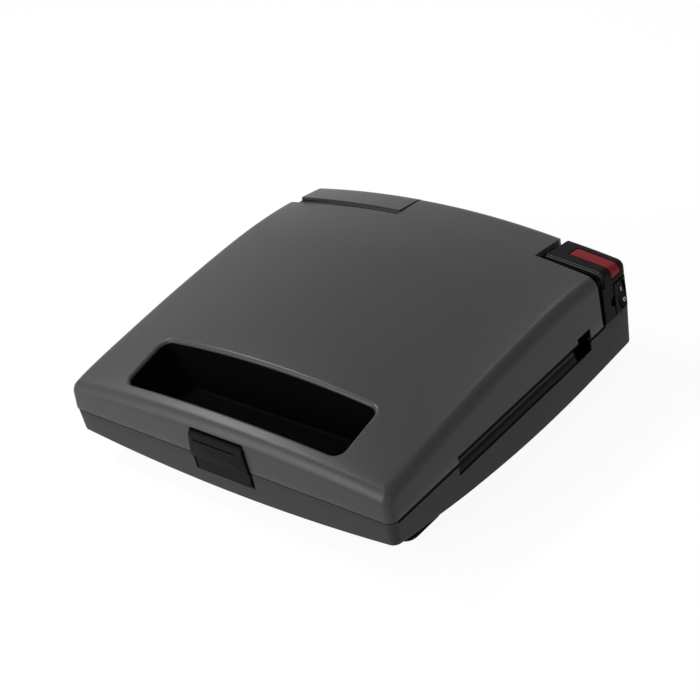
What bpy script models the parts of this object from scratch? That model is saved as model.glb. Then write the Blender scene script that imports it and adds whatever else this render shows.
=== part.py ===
"""A two-slice sandwich maker with its lid closed, modelled piece by piece in metres, +Z up.

The origin is on the table under the middle of the housing. X runs to the right and Y to the back.
The lid turns back on two pins at its rear, the latch rocks on a pin in the lid's front, and the
power switch rocks in the side of the control tower.
"""

import math

import bmesh
import bpy
from mathutils import Vector

for leftover in list(bpy.data.objects):
    bpy.data.objects.remove(leftover, do_unlink=True)

# Overall sizes of the two housings
width = 0.290
depth = 0.2792
lid_rise = 0.0528
parting_height = 0.044
ground_gap = 0.003
base_drop = parting_height - ground_gap
corner_radius = 0.0065
wall = 0.0025
lid_bend = 0.008
lid_draft = 0.0008
lid_lift = 0.0004
base_inset = 0.0006
base_bend = 0.0015
base_draft = 0.001
base_fall = 0.0008
reveal_depth = 0.0012
reveal_height = 0.001

half_width = width / 2
half_depth = depth / 2

# Fits shared by all pieces
clearance = 0.0003
overrun = 0.005
least_radius = 0.0006

# Profile rows from front to back: place as a share of the depth, then the height at the side edge
# and the extra height along the middle, both as shares of the lid's rise or the base's drop
lid_profile_shares = (
    (-0.5, 0.37, 0.13),
    (-0.437, 0.445, 0.155),
    (-0.29, 0.545, 0.262),
    (-0.072, 0.672, 0.272),
    (0.18, 0.763, 0.262),
    (0.352, 0.74, 0.261),
    (0.5, 0.624, 0.307),
)
base_profile_shares = (
    (-0.5, 0.44, 0.2),
    (-0.36, 0.585, 0.16),
    (-0.21, 0.725, 0.12),
    (0.0, 0.84, 0.09),
    (0.21, 0.865, 0.08),
    (0.5, 0.785, 0.08),
)

# Finger opening in the lid and the well below it
opening_side = 0.0485
opening_half_width = half_width - opening_side
opening_front = 0.0145
opening_length = 0.0438
opening_radius = 0.0075
well_wall = 0.0016
well_floor = 0.0012
well_draft = 0.0022

# Scooped hand grip and deep notch along both sides
scoop_setback = 0.070
scoop_start = half_depth - scoop_setback
scoop_end_setback = 0.0532
scoop_end = half_depth - scoop_end_setback
scoop_reach = 0.005
scoop_half_height = 0.0078
scoop_fall = 0.0023
notch_length = 0.0155
notch_depth = 0.0075
notch_rise = 0.0088
notch_fall = 0.0094

# Hinge
hinge_setback = 0.0146
hinge_rise = 0.033
pin_radius = 0.003
pin_reach = 0.0095
swing_gap = 0.0006

# Hinge cover at the rear left and control tower at the rear right
cover_inner = 0.031
cover_length = 0.0326
cover_front = half_depth - cover_length
cover_gap = 0.001
cover_proud = 0.0011
cover_flare = 0.0022
cover_step = 0.0002
tower_width = 0.0460
tower_inner = half_width - tower_width
tower_length = 0.0331
tower_front = half_depth - tower_length
tower_gap = 0.0048
tower_proud = 0.0008
tower_bend = 0.0068
tower_wall = 0.0022
tower_step = 0.0021
tower_step_end = 0.0275
shelf_depth = 0.0026

# Indicator lens and the lamp under it
lens_setback = 0.0208
lens_front = half_depth - lens_setback
lens_length = 0.0108
lens_left = 0.012
lens_drop = 0.008
lamp_radius = 0.003
lamp_length = 0.018

# Switch panel, switch and rocker
panel_setback = 0.0211
panel_front = half_depth - panel_setback
panel_back_margin = 0.0033
panel_gap = 0.0006
panel_height = 0.0255
panel_notch_radius = 0.004
rocker_half_width = 0.0057
rocker_half_height = 0.0108
rocker_setback = 0.0103
rocker_middle = half_depth - rocker_setback
rocker_rise = 0.0117
rocker_depth = 0.0024
rocker_hollow = 0.0011
rocker_tilt = math.radians(8)
rocker_boss = 0.0022
switch_wall = 0.0007
switch_corner = 0.0026
switch_back = 0.014

# Latch on the front
latch_half_low = 0.027
latch_half_high = 0.0243
latch_recess_top = 0.0213
latch_recess_depth = 0.0088
latch_gap = 0.0006
latch_top = 0.0193
latch_bottom = 0.0127
latch_proud = 0.0017
latch_step_rise = 0.0008
latch_step = 0.0013
latch_thickness = 0.0032
latch_pivot_rise = 0.008
latch_pivot_inset = 0.0052
latch_boss = 0.0028
latch_pin_radius = 0.0015
latch_hook_reach = 0.002
latch_hook_height = 0.002
latch_groove_left = 0.021
latch_groove_right = 0.017
latch_groove_rise = 0.0134
latch_groove_height = 0.0024
latch_groove_depth = 0.0009
catch_recess_depth = 0.0068
catch_recess_bottom = 0.0139
catch_height = 0.002
spring_radius = 0.0024
spring_wire = 0.00035
spring_rise = 0.0145
spring_turns = 4

# Cooking plates, their frames, elements and reflectors
plate_side = 0.025
plate_half_width = half_width - plate_side
plate_end = 0.0646
plate_half_depth = half_depth - plate_end
plate_setback = 0.005
plate_radius = 0.010
plate_flange = 0.003
plate_face = 0.0003
pocket_margin = 0.0115
pocket_middle = 0.009
pocket_rib = 0.005
pocket_depth = 0.011
pocket_slope = 0.0075
pocket_radius = 0.008
pocket_wall = 0.002
frame_thickness = 0.003
ledge = 0.0025
ledge_thickness = 0.0024
frame_border = 0.003
trough_drop = 0.0044
trough_floor = 0.0025
trough_wall = 0.0025
element_radius = 0.00325
element_inset = 0.0066
element_bend = 0.014
terminal_half_gap = 0.022
terminal_bend = 0.005
terminal_length = 0.018
reflector_margin = 0.001
reflector_depth = 0.0135
reflector_sheet = 0.0008
reflector_radius = 0.009

# Screws, bosses and feet
screw_radius = 0.00175
screw_head = 0.0036
screw_head_height = 0.0014
screw_sink = 0.0018
screw_length = 0.010
screw_slot = 0.0009
boss_radius = 0.0042
boss_side = 0.0155
boss_half_width = half_width - boss_side
boss_front_setback = 0.0396
boss_front = half_depth - boss_front_setback
boss_back_setback = 0.0491
boss_back = half_depth - boss_back_setback
foot_side = 0.0175
foot_outer = half_width - foot_side
foot_half_width = 0.0135
foot_half_length = 0.020
foot_front_setback = 0.0296
foot_front = half_depth - foot_front_setback
foot_back_setback = 0.0216
foot_back = half_depth - foot_back_setback
foot_radius = 0.009
foot_taper = 0.0015
foot_well = 0.006
foot_boss_height = 0.008

# Electrical pieces in the base
thermostat_radius = 0.0085
thermostat_height = 0.007
thermostat_back = 0.022
thermostat_flange = 0.0035
thermostat_rim = 0.0015
fuse_radius = 0.0022
fuse_length = 0.012
fuse_front = 0.020
block_half_length = 0.016
block_half_width = 0.0065
block_height = 0.009
block_right = 0.050
block_setback = 0.0236
block_back = half_depth - block_setback
bush_radius = 0.0055
bush_flange = 0.0078
bush_bore = 0.0034
bush_proud = 0.0018
bush_right = 0.060
bush_fall = 0.019

# Facets
corner_steps = 3
edge_steps = 6
bend_steps = 3
round_sides = 16
screw_sides = 10
coil_sides = 8
crown_shares = (0.8, 0.6, 0.4, 0.2)
sweep_shares = (0, 0.2, 0.4, 0.6, 0.8, 1)

hinge_y = half_depth - hinge_setback
hinge_z = parting_height + hinge_rise

# Colour, roughness and metallic value of each finish
finishes = {
    "housing_plastic": ((0.045, 0.046, 0.049), 0.55, 0.0),
    "base_plastic": ((0.030, 0.031, 0.034), 0.6, 0.0),
    "tower_plastic": ((0.016, 0.016, 0.018), 0.3, 0.0),
    "black_plastic": ((0.012, 0.012, 0.013), 0.5, 0.0),
    "inner_plastic": ((0.020, 0.020, 0.021), 0.6, 0.0),
    "red_lens": ((0.45, 0.010, 0.015), 0.2, 0.0),
    "lamp_glass": ((0.8, 0.5, 0.35), 0.1, 0.0),
    "plate_coating": ((0.020, 0.020, 0.021), 0.35, 0.3),
    "steel": ((0.55, 0.55, 0.56), 0.3, 1.0),
    "element_sheath": ((0.18, 0.17, 0.16), 0.5, 0.9),
    "reflector_sheet": ((0.70, 0.70, 0.71), 0.25, 1.0),
    "rubber": ((0.010, 0.010, 0.010), 0.85, 0.0),
    "ceramic": ((0.75, 0.72, 0.66), 0.5, 0.0),
}


def smooth_rows(rows, place):
    """The values at a place, read from a smooth curve through rows of (place, value, value)."""
    last = len(rows) - 1
    row = 0
    while row < last - 1 and place > rows[row + 1][0]:
        row += 1
    start, end = rows[row], rows[row + 1]
    span = end[0] - start[0]
    share = min(max((place - start[0]) / span, 0), 1)
    before, after = rows[max(row - 1, 0)], rows[min(row + 2, last)]
    values = []
    for i in (1, 2):
        slope_in = (end[i] - before[i]) / (end[0] - before[0]) * span
        slope_out = (after[i] - start[i]) / (after[0] - start[0]) * span
        values.append(
            start[i] * (2 * share**3 - 3 * share**2 + 1)
            + slope_in * (share**3 - 2 * share**2 + share)
            + end[i] * (3 * share**2 - 2 * share**3)
            + slope_out * (share**3 - share**2)
        )
    return values


def crowned(rows, rise, x, y):
    """Height of a housing's skin from the parting plane, side edge plus a crown along the middle."""
    side, crown = smooth_rows(rows, y / depth)
    return rise * (side + crown * (1 - (x / half_width) ** 2))


def lid_skin(x, y):
    """Height of the lid's outer skin above the table."""
    return parting_height + crowned(lid_profile_shares, lid_rise, x, y)


def base_skin(x, y):
    """Height of the base's outer bottom above the table."""
    return parting_height - crowned(base_profile_shares, base_drop, x, y)


def level(up, distance):
    """Height of a place at a distance from the parting plane, above it for 1 and below it for -1."""
    return parting_height + up * distance


def body(name, place):
    """An empty on a joint's axis, which carries the pieces that move together."""
    empty = bpy.data.objects.new(name, None)
    empty.location = place
    bpy.context.scene.collection.objects.link(empty)
    return empty


def paint(piece, finish):
    """Gives a piece a material of its own."""
    colour, roughness, metallic = finishes[finish]
    material = bpy.data.materials.new(piece.name + "_finish")
    material.use_nodes = True
    shader = material.node_tree.nodes["Principled BSDF"]
    shader.inputs["Base Color"].default_value = (*colour, 1)
    shader.inputs["Roughness"].default_value = roughness
    shader.inputs["Metallic"].default_value = metallic
    piece.data.materials.append(material)


def add(name, data, carrier, finish):
    """Links a new object, hangs it on its body and paints it. Without a finish it is a cutter or a guide."""
    piece = bpy.data.objects.new(name, data)
    bpy.context.scene.collection.objects.link(piece)
    piece.parent = carrier
    piece.location = -carrier.location
    if finish is None:
        piece.hide_render = True
        piece.display_type = "WIRE"
    else:
        paint(piece, finish)
    return piece


def ring_solid(name, rings, carrier, finish=None, tip=None):
    """A closed solid whose skin joins rings of equally many points, closed by faces or at a tip."""
    bm = bmesh.new()
    loops = [[bm.verts.new(point) for point in ring] for ring in rings]
    for lower, upper in zip(loops, loops[1:]):
        for i in range(len(lower)):
            j = (i + 1) % len(lower)
            bm.faces.new((lower[i], lower[j], upper[j], upper[i]))
    bm.faces.new(loops[0][::-1])
    if tip is None:
        bm.faces.new(loops[-1])
    else:
        last = loops[-1]
        peak = bm.verts.new(tip)
        for i in range(len(last)):
            bm.faces.new((last[i], last[(i + 1) % len(last)], peak))
        bmesh.ops.triangulate(bm, faces=[face for face in bm.faces if len(face.verts) == 4])
    bmesh.ops.recalc_face_normals(bm, faces=bm.faces)
    mesh = bpy.data.meshes.new(name)
    bm.to_mesh(mesh)
    bm.free()
    mesh.shade_smooth()
    mesh.set_sharp_from_angle(angle=math.radians(35))
    return add(name, mesh, carrier, finish)


def along(axis, place, point):
    """A point of a flat outline put at a place along an axis."""
    u, v = point
    return {"X": (place, u, v), "Y": (u, place, v), "Z": (u, v, place)}[axis]


def prism(name, outline, axis, start, end, carrier, finish=None):
    """A flat outline carried along an axis from start to end."""
    rings = [[along(axis, place, point) for point in outline] for place in (start, end)]
    return ring_solid(name, rings, carrier, finish)


def block(name, low, high, carrier, finish=None):
    """A box between two corners."""
    outline = ((low[0], low[1]), (high[0], low[1]), (high[0], high[1]), (low[0], high[1]))
    return prism(name, outline, "Z", low[2], high[2], carrier, finish)


def circle(radius, centre=(0, 0), sides=round_sides, stretch=1):
    """Points of a circle, or of an oval that is stretched along its second direction."""
    turns = [2 * math.pi * (i + 1 / 2) / sides for i in range(sides)]
    return [(centre[0] + radius * math.cos(t), centre[1] + stretch * radius * math.sin(t)) for t in turns]


def turned(name, profile, place, carrier, finish=None, sides=round_sides):
    """A round piece on an upright axis, from a profile of (radius, height) rows."""
    rings = [[(u, v, height) for u, v in circle(radius, place, sides)] for radius, height in profile]
    return ring_solid(name, rings, carrier, finish)


def rounded_box(half_x, half_y, radius, centre=(0, 0), steps=1):
    """Points of a rounded rectangle, with each straight side split into a number of steps."""
    bend = min(max(radius, least_radius), half_x - least_radius, half_y - least_radius)
    arcs = []
    for quarter, (side_x, side_y) in enumerate(((1, 1), (-1, 1), (-1, -1), (1, -1))):
        turns = [math.pi / 2 * (quarter + step / corner_steps) for step in range(corner_steps + 1)]
        middle_x = centre[0] + side_x * (half_x - bend)
        middle_y = centre[1] + side_y * (half_y - bend)
        arcs.append([(middle_x + bend * math.cos(t), middle_y + bend * math.sin(t)) for t in turns])
    points = []
    for arc, following in zip(arcs, arcs[1:] + arcs[:1]):
        points += arc
        start, end = Vector(arc[-1]), Vector(following[0])
        points += [tuple(start.lerp(end, step / steps)) for step in range(1, steps)]
    return points


def dome(name, half_x, half_y, radius, centre, edge, skin, bend, draft, up, carrier):
    """A solid from an edge up a drafted wall, round a bend and in over a crowned skin."""
    rings = [[(x, y, edge) for x, y in rounded_box(half_x, half_y, radius, centre, edge_steps)]]
    for step in range(bend_steps + 1):
        turn = math.pi / 2 * step / bend_steps
        inset = draft + bend * (1 - math.cos(turn))
        drop = bend * (1 - math.sin(turn))
        outline = rounded_box(half_x - inset, half_y - inset, radius - inset, centre, edge_steps)
        rings.append([(x, y, skin(x, y) - up * drop) for x, y in outline])
    middle = Vector(centre)
    for share in crown_shares:
        pulled = [middle.lerp(Vector(point), share) for point in outline]
        rings.append([(x, y, skin(x, y)) for x, y in pulled])
    return ring_solid(name, rings, carrier, None, (*centre, skin(*centre)))


def apply_boolean(piece, tool, operation):
    """Adds a cut, a join or an intersection with a hidden tool."""
    modifier = piece.modifiers.new(tool.name, "BOOLEAN")
    modifier.operation = operation
    modifier.object = tool


def cut(piece, *tools):
    """Takes hidden tools away from a piece."""
    for tool in tools:
        apply_boolean(piece, tool, "DIFFERENCE")


def join(piece, *tools):
    """Adds hidden solids to a piece."""
    for tool in tools:
        apply_boolean(piece, tool, "UNION")


def keep_within(piece, tool):
    """Keeps what a piece shares with a hidden tool."""
    apply_boolean(piece, tool, "INTERSECT")


def lid_dome(name, grow, edge, carrier):
    """The lid's outer form, grown or drawn in evenly, as a tool or a solid."""
    return dome(
        name,
        half_width + grow,
        half_depth + grow,
        corner_radius + grow,
        (0, 0),
        edge,
        lambda x, y: lid_skin(x, y) + grow,
        lid_bend + grow,
        lid_draft,
        1,
        carrier,
    )


def base_dome(name, grow, edge, carrier):
    """The base's outer form, grown or drawn in evenly, as a tool or a solid."""
    return dome(
        name,
        half_width - base_inset + grow,
        half_depth - base_inset + grow,
        corner_radius + grow,
        (0, 0),
        edge,
        lambda x, y: base_skin(x, y) - grow,
        base_bend + grow,
        base_draft,
        -1,
        carrier,
    )


def grip_tools(name, grow, carrier):
    """The scooped grip and the deep notch of both sides, grown to leave a wall or a gap."""
    tools = []
    start = -scoop_start - grow
    end = scoop_end - notch_length / 2
    for label, side in (("left", -1), ("right", 1)):
        middle = (side * half_width, parting_height - scoop_fall)
        stretch = (scoop_half_height + grow) / (scoop_reach + grow)
        oval = circle(scoop_reach + grow, middle, 2 * round_sides, stretch)
        tools.append(prism(f"{name}_{label}_scoop", oval, "Y", start, end, carrier))
        reach = sorted((side * (half_width + overrun), side * (half_width - notch_depth - grow)))
        low = (reach[0], scoop_end - notch_length - grow, parting_height - notch_fall - grow)
        high = (reach[1], scoop_end + grow, parting_height + notch_rise + grow)
        tools.append(block(f"{name}_{label}_notch", low, high, carrier))
    return tools


def reveal_tools(carrier):
    """The shadow groove along the top edge of the base's sides, ahead of the grips."""
    tools = []
    for label, side in (("left", -1), ("right", 1)):
        reach = sorted((side * (half_width + overrun), side * (half_width - base_inset - reveal_depth)))
        low = (reach[0], -half_depth + corner_radius, parting_height - base_fall - reveal_height)
        high = (reach[1], -scoop_start + scoop_reach, parting_height + overrun)
        tools.append(block(f"base_{label}_reveal", low, high, carrier))
    return tools


def rear_notch_tools(name, grow, carrier):
    """What the lid leaves free at the rear corners for the hinge cover and the control tower."""
    bottom = parting_height - lid_rise
    top = parting_height + 2 * lid_rise
    back = half_depth + overrun + grow
    outside = half_width + overrun + grow
    left_edge = -cover_inner + cover_gap + grow
    left = block(
        f"{name}_cover_side",
        (-outside, cover_front - cover_gap - grow, bottom),
        (left_edge, back, top),
        carrier,
    )
    rings = []
    for share in sweep_shares:
        x = left_edge - least_radius - share * (outside + overrun + left_edge)
        reach = edge_radius_of_cover(x) + swing_gap + grow
        rings.append([(x, y, z) for y, z in circle(reach, (hinge_y, hinge_z), 3 * round_sides)])
    swing = ring_solid(f"{name}_cover_swing", rings, carrier)
    right = block(
        f"{name}_tower_side",
        (tower_inner - tower_gap - grow, tower_front - tower_gap - grow, bottom),
        (outside, back, top),
        carrier,
    )
    return [left, swing, right]


def edge_radius_of_cover(x):
    """Distance from the hinge axis to the cover's front top edge at a place along its length."""
    rise = max(cover_skin(x, cover_front) - hinge_z, 0)
    return math.hypot(hinge_y - cover_front, rise)


def trapezium(low_half, high_half, low, high):
    """Front view of the latch or its recess."""
    return ((-low_half, low), (low_half, low), (high_half, high), (-high_half, high))


def latch_half(rise):
    """Half the width of the latch recess at a height over the parting plane."""
    return latch_half_low + (latch_half_high - latch_half_low) * rise / latch_recess_top


def latch_recess(name, grow, carrier):
    """The pocket in the lid's front that holds the upper part of the latch."""
    low = -overrun
    high = latch_recess_top + grow
    outline = trapezium(
        latch_half(low) + grow, latch_half(high) + grow, parting_height + low, parting_height + high
    )
    return prism(name, outline, "Y", -half_depth - overrun, -half_depth + latch_recess_depth + grow, carrier)


def catch_recess(name, grow, carrier):
    """The pocket in the base's front that holds the lower part of the latch."""
    low = catch_recess_bottom + grow
    half = latch_half(0) + grow
    outline = trapezium(half, half, parting_height - low, parting_height + overrun)
    end = -half_depth + base_inset + catch_recess_depth + grow
    return prism(name, outline, "Y", -half_depth - overrun, end, carrier)


def opening_outline(grow):
    """Plan of the finger opening."""
    middle = -half_depth + opening_front + opening_length / 2
    return rounded_box(
        opening_half_width + grow, opening_length / 2 + grow, opening_radius + grow, (0, middle)
    )


def boss_places():
    """Plan places of the four screws that hold a frame to its housing."""
    return {
        "front_left": (-boss_half_width, -boss_front),
        "front_right": (boss_half_width, -boss_front),
        "rear_left": (-boss_half_width, boss_back),
        "rear_right": (boss_half_width, boss_back),
    }


def add_bosses(housing, skin, up, carrier):
    """Screw bosses from the inside of a housing to its frame."""
    seat = level(up, frame_level(up) + frame_thickness + clearance)
    for corner, place in boss_places().items():
        root = skin(*place) - up * wall / 2
        boss = turned(
            f"{housing.name}_boss_{corner}", ((boss_radius, seat), (boss_radius, root)), place, carrier
        )
        join(housing, boss)
        shank = screw_radius + clearance
        hole = turned(
            f"{housing.name}_boss_hole_{corner}",
            ((shank, seat - up * overrun), (shank, seat + up * screw_length)),
            place,
            carrier,
        )
        cut(housing, hole)


def frame_level(up):
    """Distance of a frame's face from the parting plane."""
    return base_fall if up < 0 else lid_lift + clearance


def make_upper_housing(lid):
    """The lid's shell: crowned skin, finger opening, side grips, latch recess and rear notches."""
    housing = lid_dome("upper_housing", 0, parting_height + lid_lift, lid)
    finish_piece(housing, "housing_plastic")
    cut(housing, *rear_notch_tools("lid_skin", 0, lid))
    hollow = lid_dome("lid_hollow", -wall, parting_height - overrun, lid)
    cut(hollow, *rear_notch_tools("lid_hollow", wall, lid))
    cut(hollow, *grip_tools("lid_hollow", wall, lid))
    cut(hollow, latch_recess("lid_hollow_latch", wall, lid))
    cut(housing, hollow)
    cut(housing, *grip_tools("lid_skin", 0, lid))
    cut(housing, latch_recess("lid_skin_latch", 0, lid))
    low, high = parting_height + wall, parting_height + 2 * lid_rise
    opening = prism("finger_opening_cut", opening_outline(0), "Z", low, high, lid)
    cut(housing, opening)
    add_bosses(housing, lid_skin, 1, lid)
    hinge_hole = prism(
        "lid_hinge_hole",
        circle(pin_radius + 2 * clearance, (hinge_y, hinge_z)),
        "X",
        -cover_inner - overrun,
        tower_inner,
        lid,
    )
    cut(housing, hinge_hole)
    pin_hole = prism(
        "lid_latch_hole",
        circle(latch_pin_radius + clearance, latch_axis()),
        "X",
        -latch_half_low - wall - overrun,
        latch_half_low + wall + overrun,
        lid,
    )
    cut(housing, pin_hole)
    return housing


def finish_piece(piece, finish):
    """Turns a solid that was made as a tool into a painted piece."""
    piece.hide_render = False
    piece.display_type = "TEXTURED"
    paint(piece, finish)


def latch_axis():
    """Y and Z of the latch's pin."""
    return (-half_depth + latch_pivot_inset, parting_height + latch_pivot_rise)


def make_lower_housing(base):
    """The base's shell: hull-shaped bottom, side grips, catch recess, bosses and a cord bush hole."""
    housing = base_dome("lower_housing", 0, parting_height - base_fall, base)
    finish_piece(housing, "base_plastic")
    hollow = base_dome("base_hollow", -wall, parting_height + overrun, base)
    cut(hollow, *grip_tools("base_hollow", wall, base))
    cut(hollow, catch_recess("base_hollow_catch", wall, base))
    cut(housing, hollow)
    cut(housing, *grip_tools("base_skin", 0, base))
    cut(housing, *reveal_tools(base))
    cut(housing, catch_recess("base_skin_catch", 0, base))
    join(housing, catch_lip(base))
    add_bosses(housing, base_skin, -1, base)
    for corner, place in foot_places().items():
        top = base_skin(*place) + foot_boss_height
        root = base_skin(*place) + wall / 2
        boss = turned(f"foot_boss_{corner}", ((boss_radius, root), (boss_radius, top)), place, base)
        join(housing, boss)
        hole = turned(
            f"foot_boss_hole_{corner}",
            ((screw_radius + clearance, root - overrun), (screw_radius + clearance, top + overrun)),
            place,
            base,
        )
        cut(housing, hole)
    cut(housing, swing_tool("base_swing", 0, base))
    bush_hole = prism(
        "bush_hole",
        circle(bush_radius + clearance, bush_axis()),
        "Y",
        half_depth - base_inset - base_draft - wall - overrun,
        half_depth + overrun,
        base,
    )
    cut(housing, bush_hole)
    return housing


def catch_lip(base):
    """The lip over which the latch's hook lies."""
    low = parting_height - latch_bottom + latch_hook_height + 2 * clearance
    back = -half_depth + base_inset + catch_recess_depth
    return block(
        "catch_lip",
        (-latch_half_high, hook_tip() + clearance, low),
        (latch_half_high, back + wall / 2, low + catch_height),
        base,
    )


def hook_tip():
    """Y of the hook's inner end."""
    return -half_depth - latch_proud + latch_step + latch_thickness + latch_hook_reach


def swing_tool(name, grow, carrier):
    """The round space that the lid's rear corner sweeps."""
    reach = math.hypot(hinge_setback, hinge_rise) + swing_gap + grow
    return prism(
        name,
        circle(reach, (hinge_y, hinge_z), 4 * round_sides),
        "X",
        -cover_inner,
        tower_inner - clearance,
        carrier,
    )


def bush_axis():
    """X and Z of the cord bush."""
    return (bush_right, parting_height - bush_fall)


def foot_places():
    """Plan places of the four feet."""
    x = foot_outer - foot_half_width
    return {
        "front_left": (-x, -foot_front + foot_half_length),
        "front_right": (x, -foot_front + foot_half_length),
        "rear_left": (-x, foot_back - foot_half_length),
        "rear_right": (x, foot_back - foot_half_length),
    }


def make_foot(corner, place, base):
    """A rubber foot whose top follows the base's hull, with a well for its screw."""
    rings = []
    for grow, height in ((-foot_taper, 0), (0, foot_taper), (0, parting_height - base_drop / 3)):
        outline = rounded_box(foot_half_width + grow, foot_half_length + grow, foot_radius + grow, place)
        rings.append([(x, y, height) for x, y in outline])
    foot = ring_solid(f"foot_{corner}", rings, base, "rubber")
    cut(foot, base_dome(f"foot_{corner}_seat", clearance, parting_height, base))
    head = screw_head + clearance
    well = turned(
        f"foot_{corner}_well", ((head, -overrun), (head, foot_well)), place, base
    )
    shank = screw_radius + clearance
    hole = turned(
        f"foot_{corner}_hole", ((shank, foot_well - clearance), (shank, parting_height)), place, base
    )
    cut(foot, well, hole)
    return foot


def make_screw(name, place, head_face, seat, tip, carrier):
    """A pan-head screw from its head face by the seat under its head to its tip, with a drive slot."""
    way = 1 if tip > seat else -1
    rim = head_face + way * screw_slot / 2
    under = seat - way * clearance
    rows = (
        (screw_head - screw_slot / 2, head_face),
        (screw_head, rim),
        (screw_head, under),
        (screw_radius, under),
        (screw_radius, tip),
    )
    screw = turned(name, rows, place, carrier, "steel", screw_sides)
    slot_end = head_face + way * screw_head_height / 2
    low, high = sorted((head_face - way * overrun, slot_end))
    half = screw_slot / 2
    reach = screw_head + overrun
    x, y = place
    slot = block(f"{name}_slot", (x - reach, y - half, low), (x + reach, y + half, high), carrier)
    cut(screw, slot)
    return screw


def make_frame(name, up, carrier):
    """The flat carrier that closes a housing and holds its plate on a sunk ledge."""
    face = frame_level(up)
    back = face + frame_thickness
    inset = wall + clearance
    if up > 0:
        half_x, half_y = half_width - lid_draft - inset, half_depth - lid_draft - inset
    else:
        half_x = half_width - base_inset - base_draft - inset
        half_y = half_depth - base_inset - base_draft - inset
    outline = rounded_box(half_x, half_y, corner_radius - inset)
    frame = prism(name, outline, "Z", level(up, face), level(up, back), carrier, "inner_plastic")
    middle = (0, plate_setback)
    border_x = plate_half_width + frame_border
    border_y = plate_half_depth + frame_border
    deep = ledge_face() + ledge_thickness
    border = prism(
        f"{name}_border",
        rounded_box(border_x, border_y, plate_radius + frame_border, middle),
        "Z",
        level(up, face + clearance),
        level(up, deep),
        carrier,
    )
    join(frame, border)
    if up < 0:
        trough = trough_box("trough", 0, base)
        join(frame, trough)
        cut(frame, trough_box("trough_hollow", -trough_wall, base))
    seat = prism(
        f"{name}_seat",
        rounded_box(plate_half_width + clearance, plate_half_depth + clearance, plate_radius, middle),
        "Z",
        level(up, -overrun),
        level(up, ledge_face()),
        carrier,
    )
    window = prism(
        f"{name}_window",
        rounded_box(plate_half_width - ledge, plate_half_depth - ledge, plate_radius - ledge, middle),
        "Z",
        level(up, -overrun),
        level(up, deep + overrun),
        carrier,
    )
    cut(frame, seat, window)
    cut(frame, *grip_tools(name, wall + clearance, carrier))
    head, shank = screw_head + clearance, screw_radius + clearance
    for corner, place in boss_places().items():
        sink_rows = ((head, level(up, -overrun)), (head, level(up, face + screw_sink)))
        sink = turned(f"{name}_sink_{corner}", sink_rows, place, carrier)
        hole_rows = ((shank, level(up, face)), (shank, level(up, back + overrun)))
        hole = turned(f"{name}_hole_{corner}", hole_rows, place, carrier)
        cut(frame, sink, hole)
    return frame


def ledge_face():
    """Distance of the ledge under the plate's flange from the parting plane."""
    return plate_face + plate_flange + clearance


def trough_box(name, grow, carrier):
    """The sunk trough behind the plates, which clears the lid's rear corner as it swings."""
    floor = base_fall + trough_drop + (trough_floor if grow == 0 else 0)
    top = base_fall + clearance if grow == 0 else -overrun
    front = tower_front - trough_wall - clearance - grow
    back = half_depth - base_inset - base_draft - wall - clearance
    left = -cover_inner - trough_wall - grow
    right = tower_inner + trough_wall + grow
    return block(
        name,
        (left, front, parting_height - floor),
        (right, back - (0 if grow == 0 else trough_wall), parting_height - top),
        carrier,
    )


def finish_upper_frame(frame, lid):
    """Leaves room in the lid's frame for the rear corners, the latch recess and the finger well."""
    cut(frame, *rear_notch_tools("upper_frame", wall + clearance, lid))
    cut(frame, latch_recess("upper_frame_latch", wall + clearance, lid))
    window = prism(
        "upper_frame_well_window",
        well_outline(0, well_wall + clearance),
        "Z",
        parting_height - overrun,
        parting_height + lid_rise,
        lid,
    )
    cut(frame, window)


def finish_lower_frame(frame, base):
    """Leaves room in the base's frame for the catch recess and the lid's rear corner."""
    cut(frame, catch_recess("lower_frame_catch", wall + clearance, base))
    cut(frame, swing_tool("lower_frame_swing", clearance, base))


def well_outline(rise_share, grow):
    """Plan of the finger well's inside, which narrows from the opening, at 1, to its floor, at 0."""
    inset = well_draft * (1 - rise_share)
    return opening_outline(grow - inset)


def well_rings(grow, low, top):
    """Rings of the finger well: drafted up to the lowest place of its rim, then straight up."""
    rim = lid_skin(opening_half_width, -half_depth + opening_front) - wall - clearance
    return [
        [(x, y, low) for x, y in well_outline(0, grow)],
        [(x, y, rim) for x, y in well_outline(1, grow)],
        [(x, y, top) for x, y in well_outline(1, grow)],
    ]


def make_handle_well(lid):
    """The tub behind the finger opening, closed at its floor and open to the lid's skin."""
    low = parting_height + frame_level(1)
    high = parting_height + lid_rise
    well = ring_solid("handle_well", well_rings(well_wall, low, high), lid, "black_plastic")
    keep_within(well, lid_dome("handle_well_limit", -wall - clearance, parting_height - overrun, lid))
    cut(well, ring_solid("handle_well_hollow", well_rings(0, low + well_floor, high + overrun), lid))
    return well


def shrunk(corners, insets):
    """A convex outline with each side moved in by its own distance. Side i runs on from corner i."""
    lines = []
    count = len(corners)
    for i, inset in enumerate(insets):
        start, end = Vector(corners[i]), Vector(corners[(i + 1) % count])
        way = (end - start).normalized()
        inward = Vector((-way.y, way.x))
        lines.append((start + inward * inset, way))
    points = []
    for i in range(count):
        (first, first_way), (second, second_way) = lines[i - 1], lines[i]
        gap = second - first
        share = (gap.x * second_way.y - gap.y * second_way.x) / (
            first_way.x * second_way.y - first_way.y * second_way.x
        )
        points.append(tuple(first + first_way * share))
    return points


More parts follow.
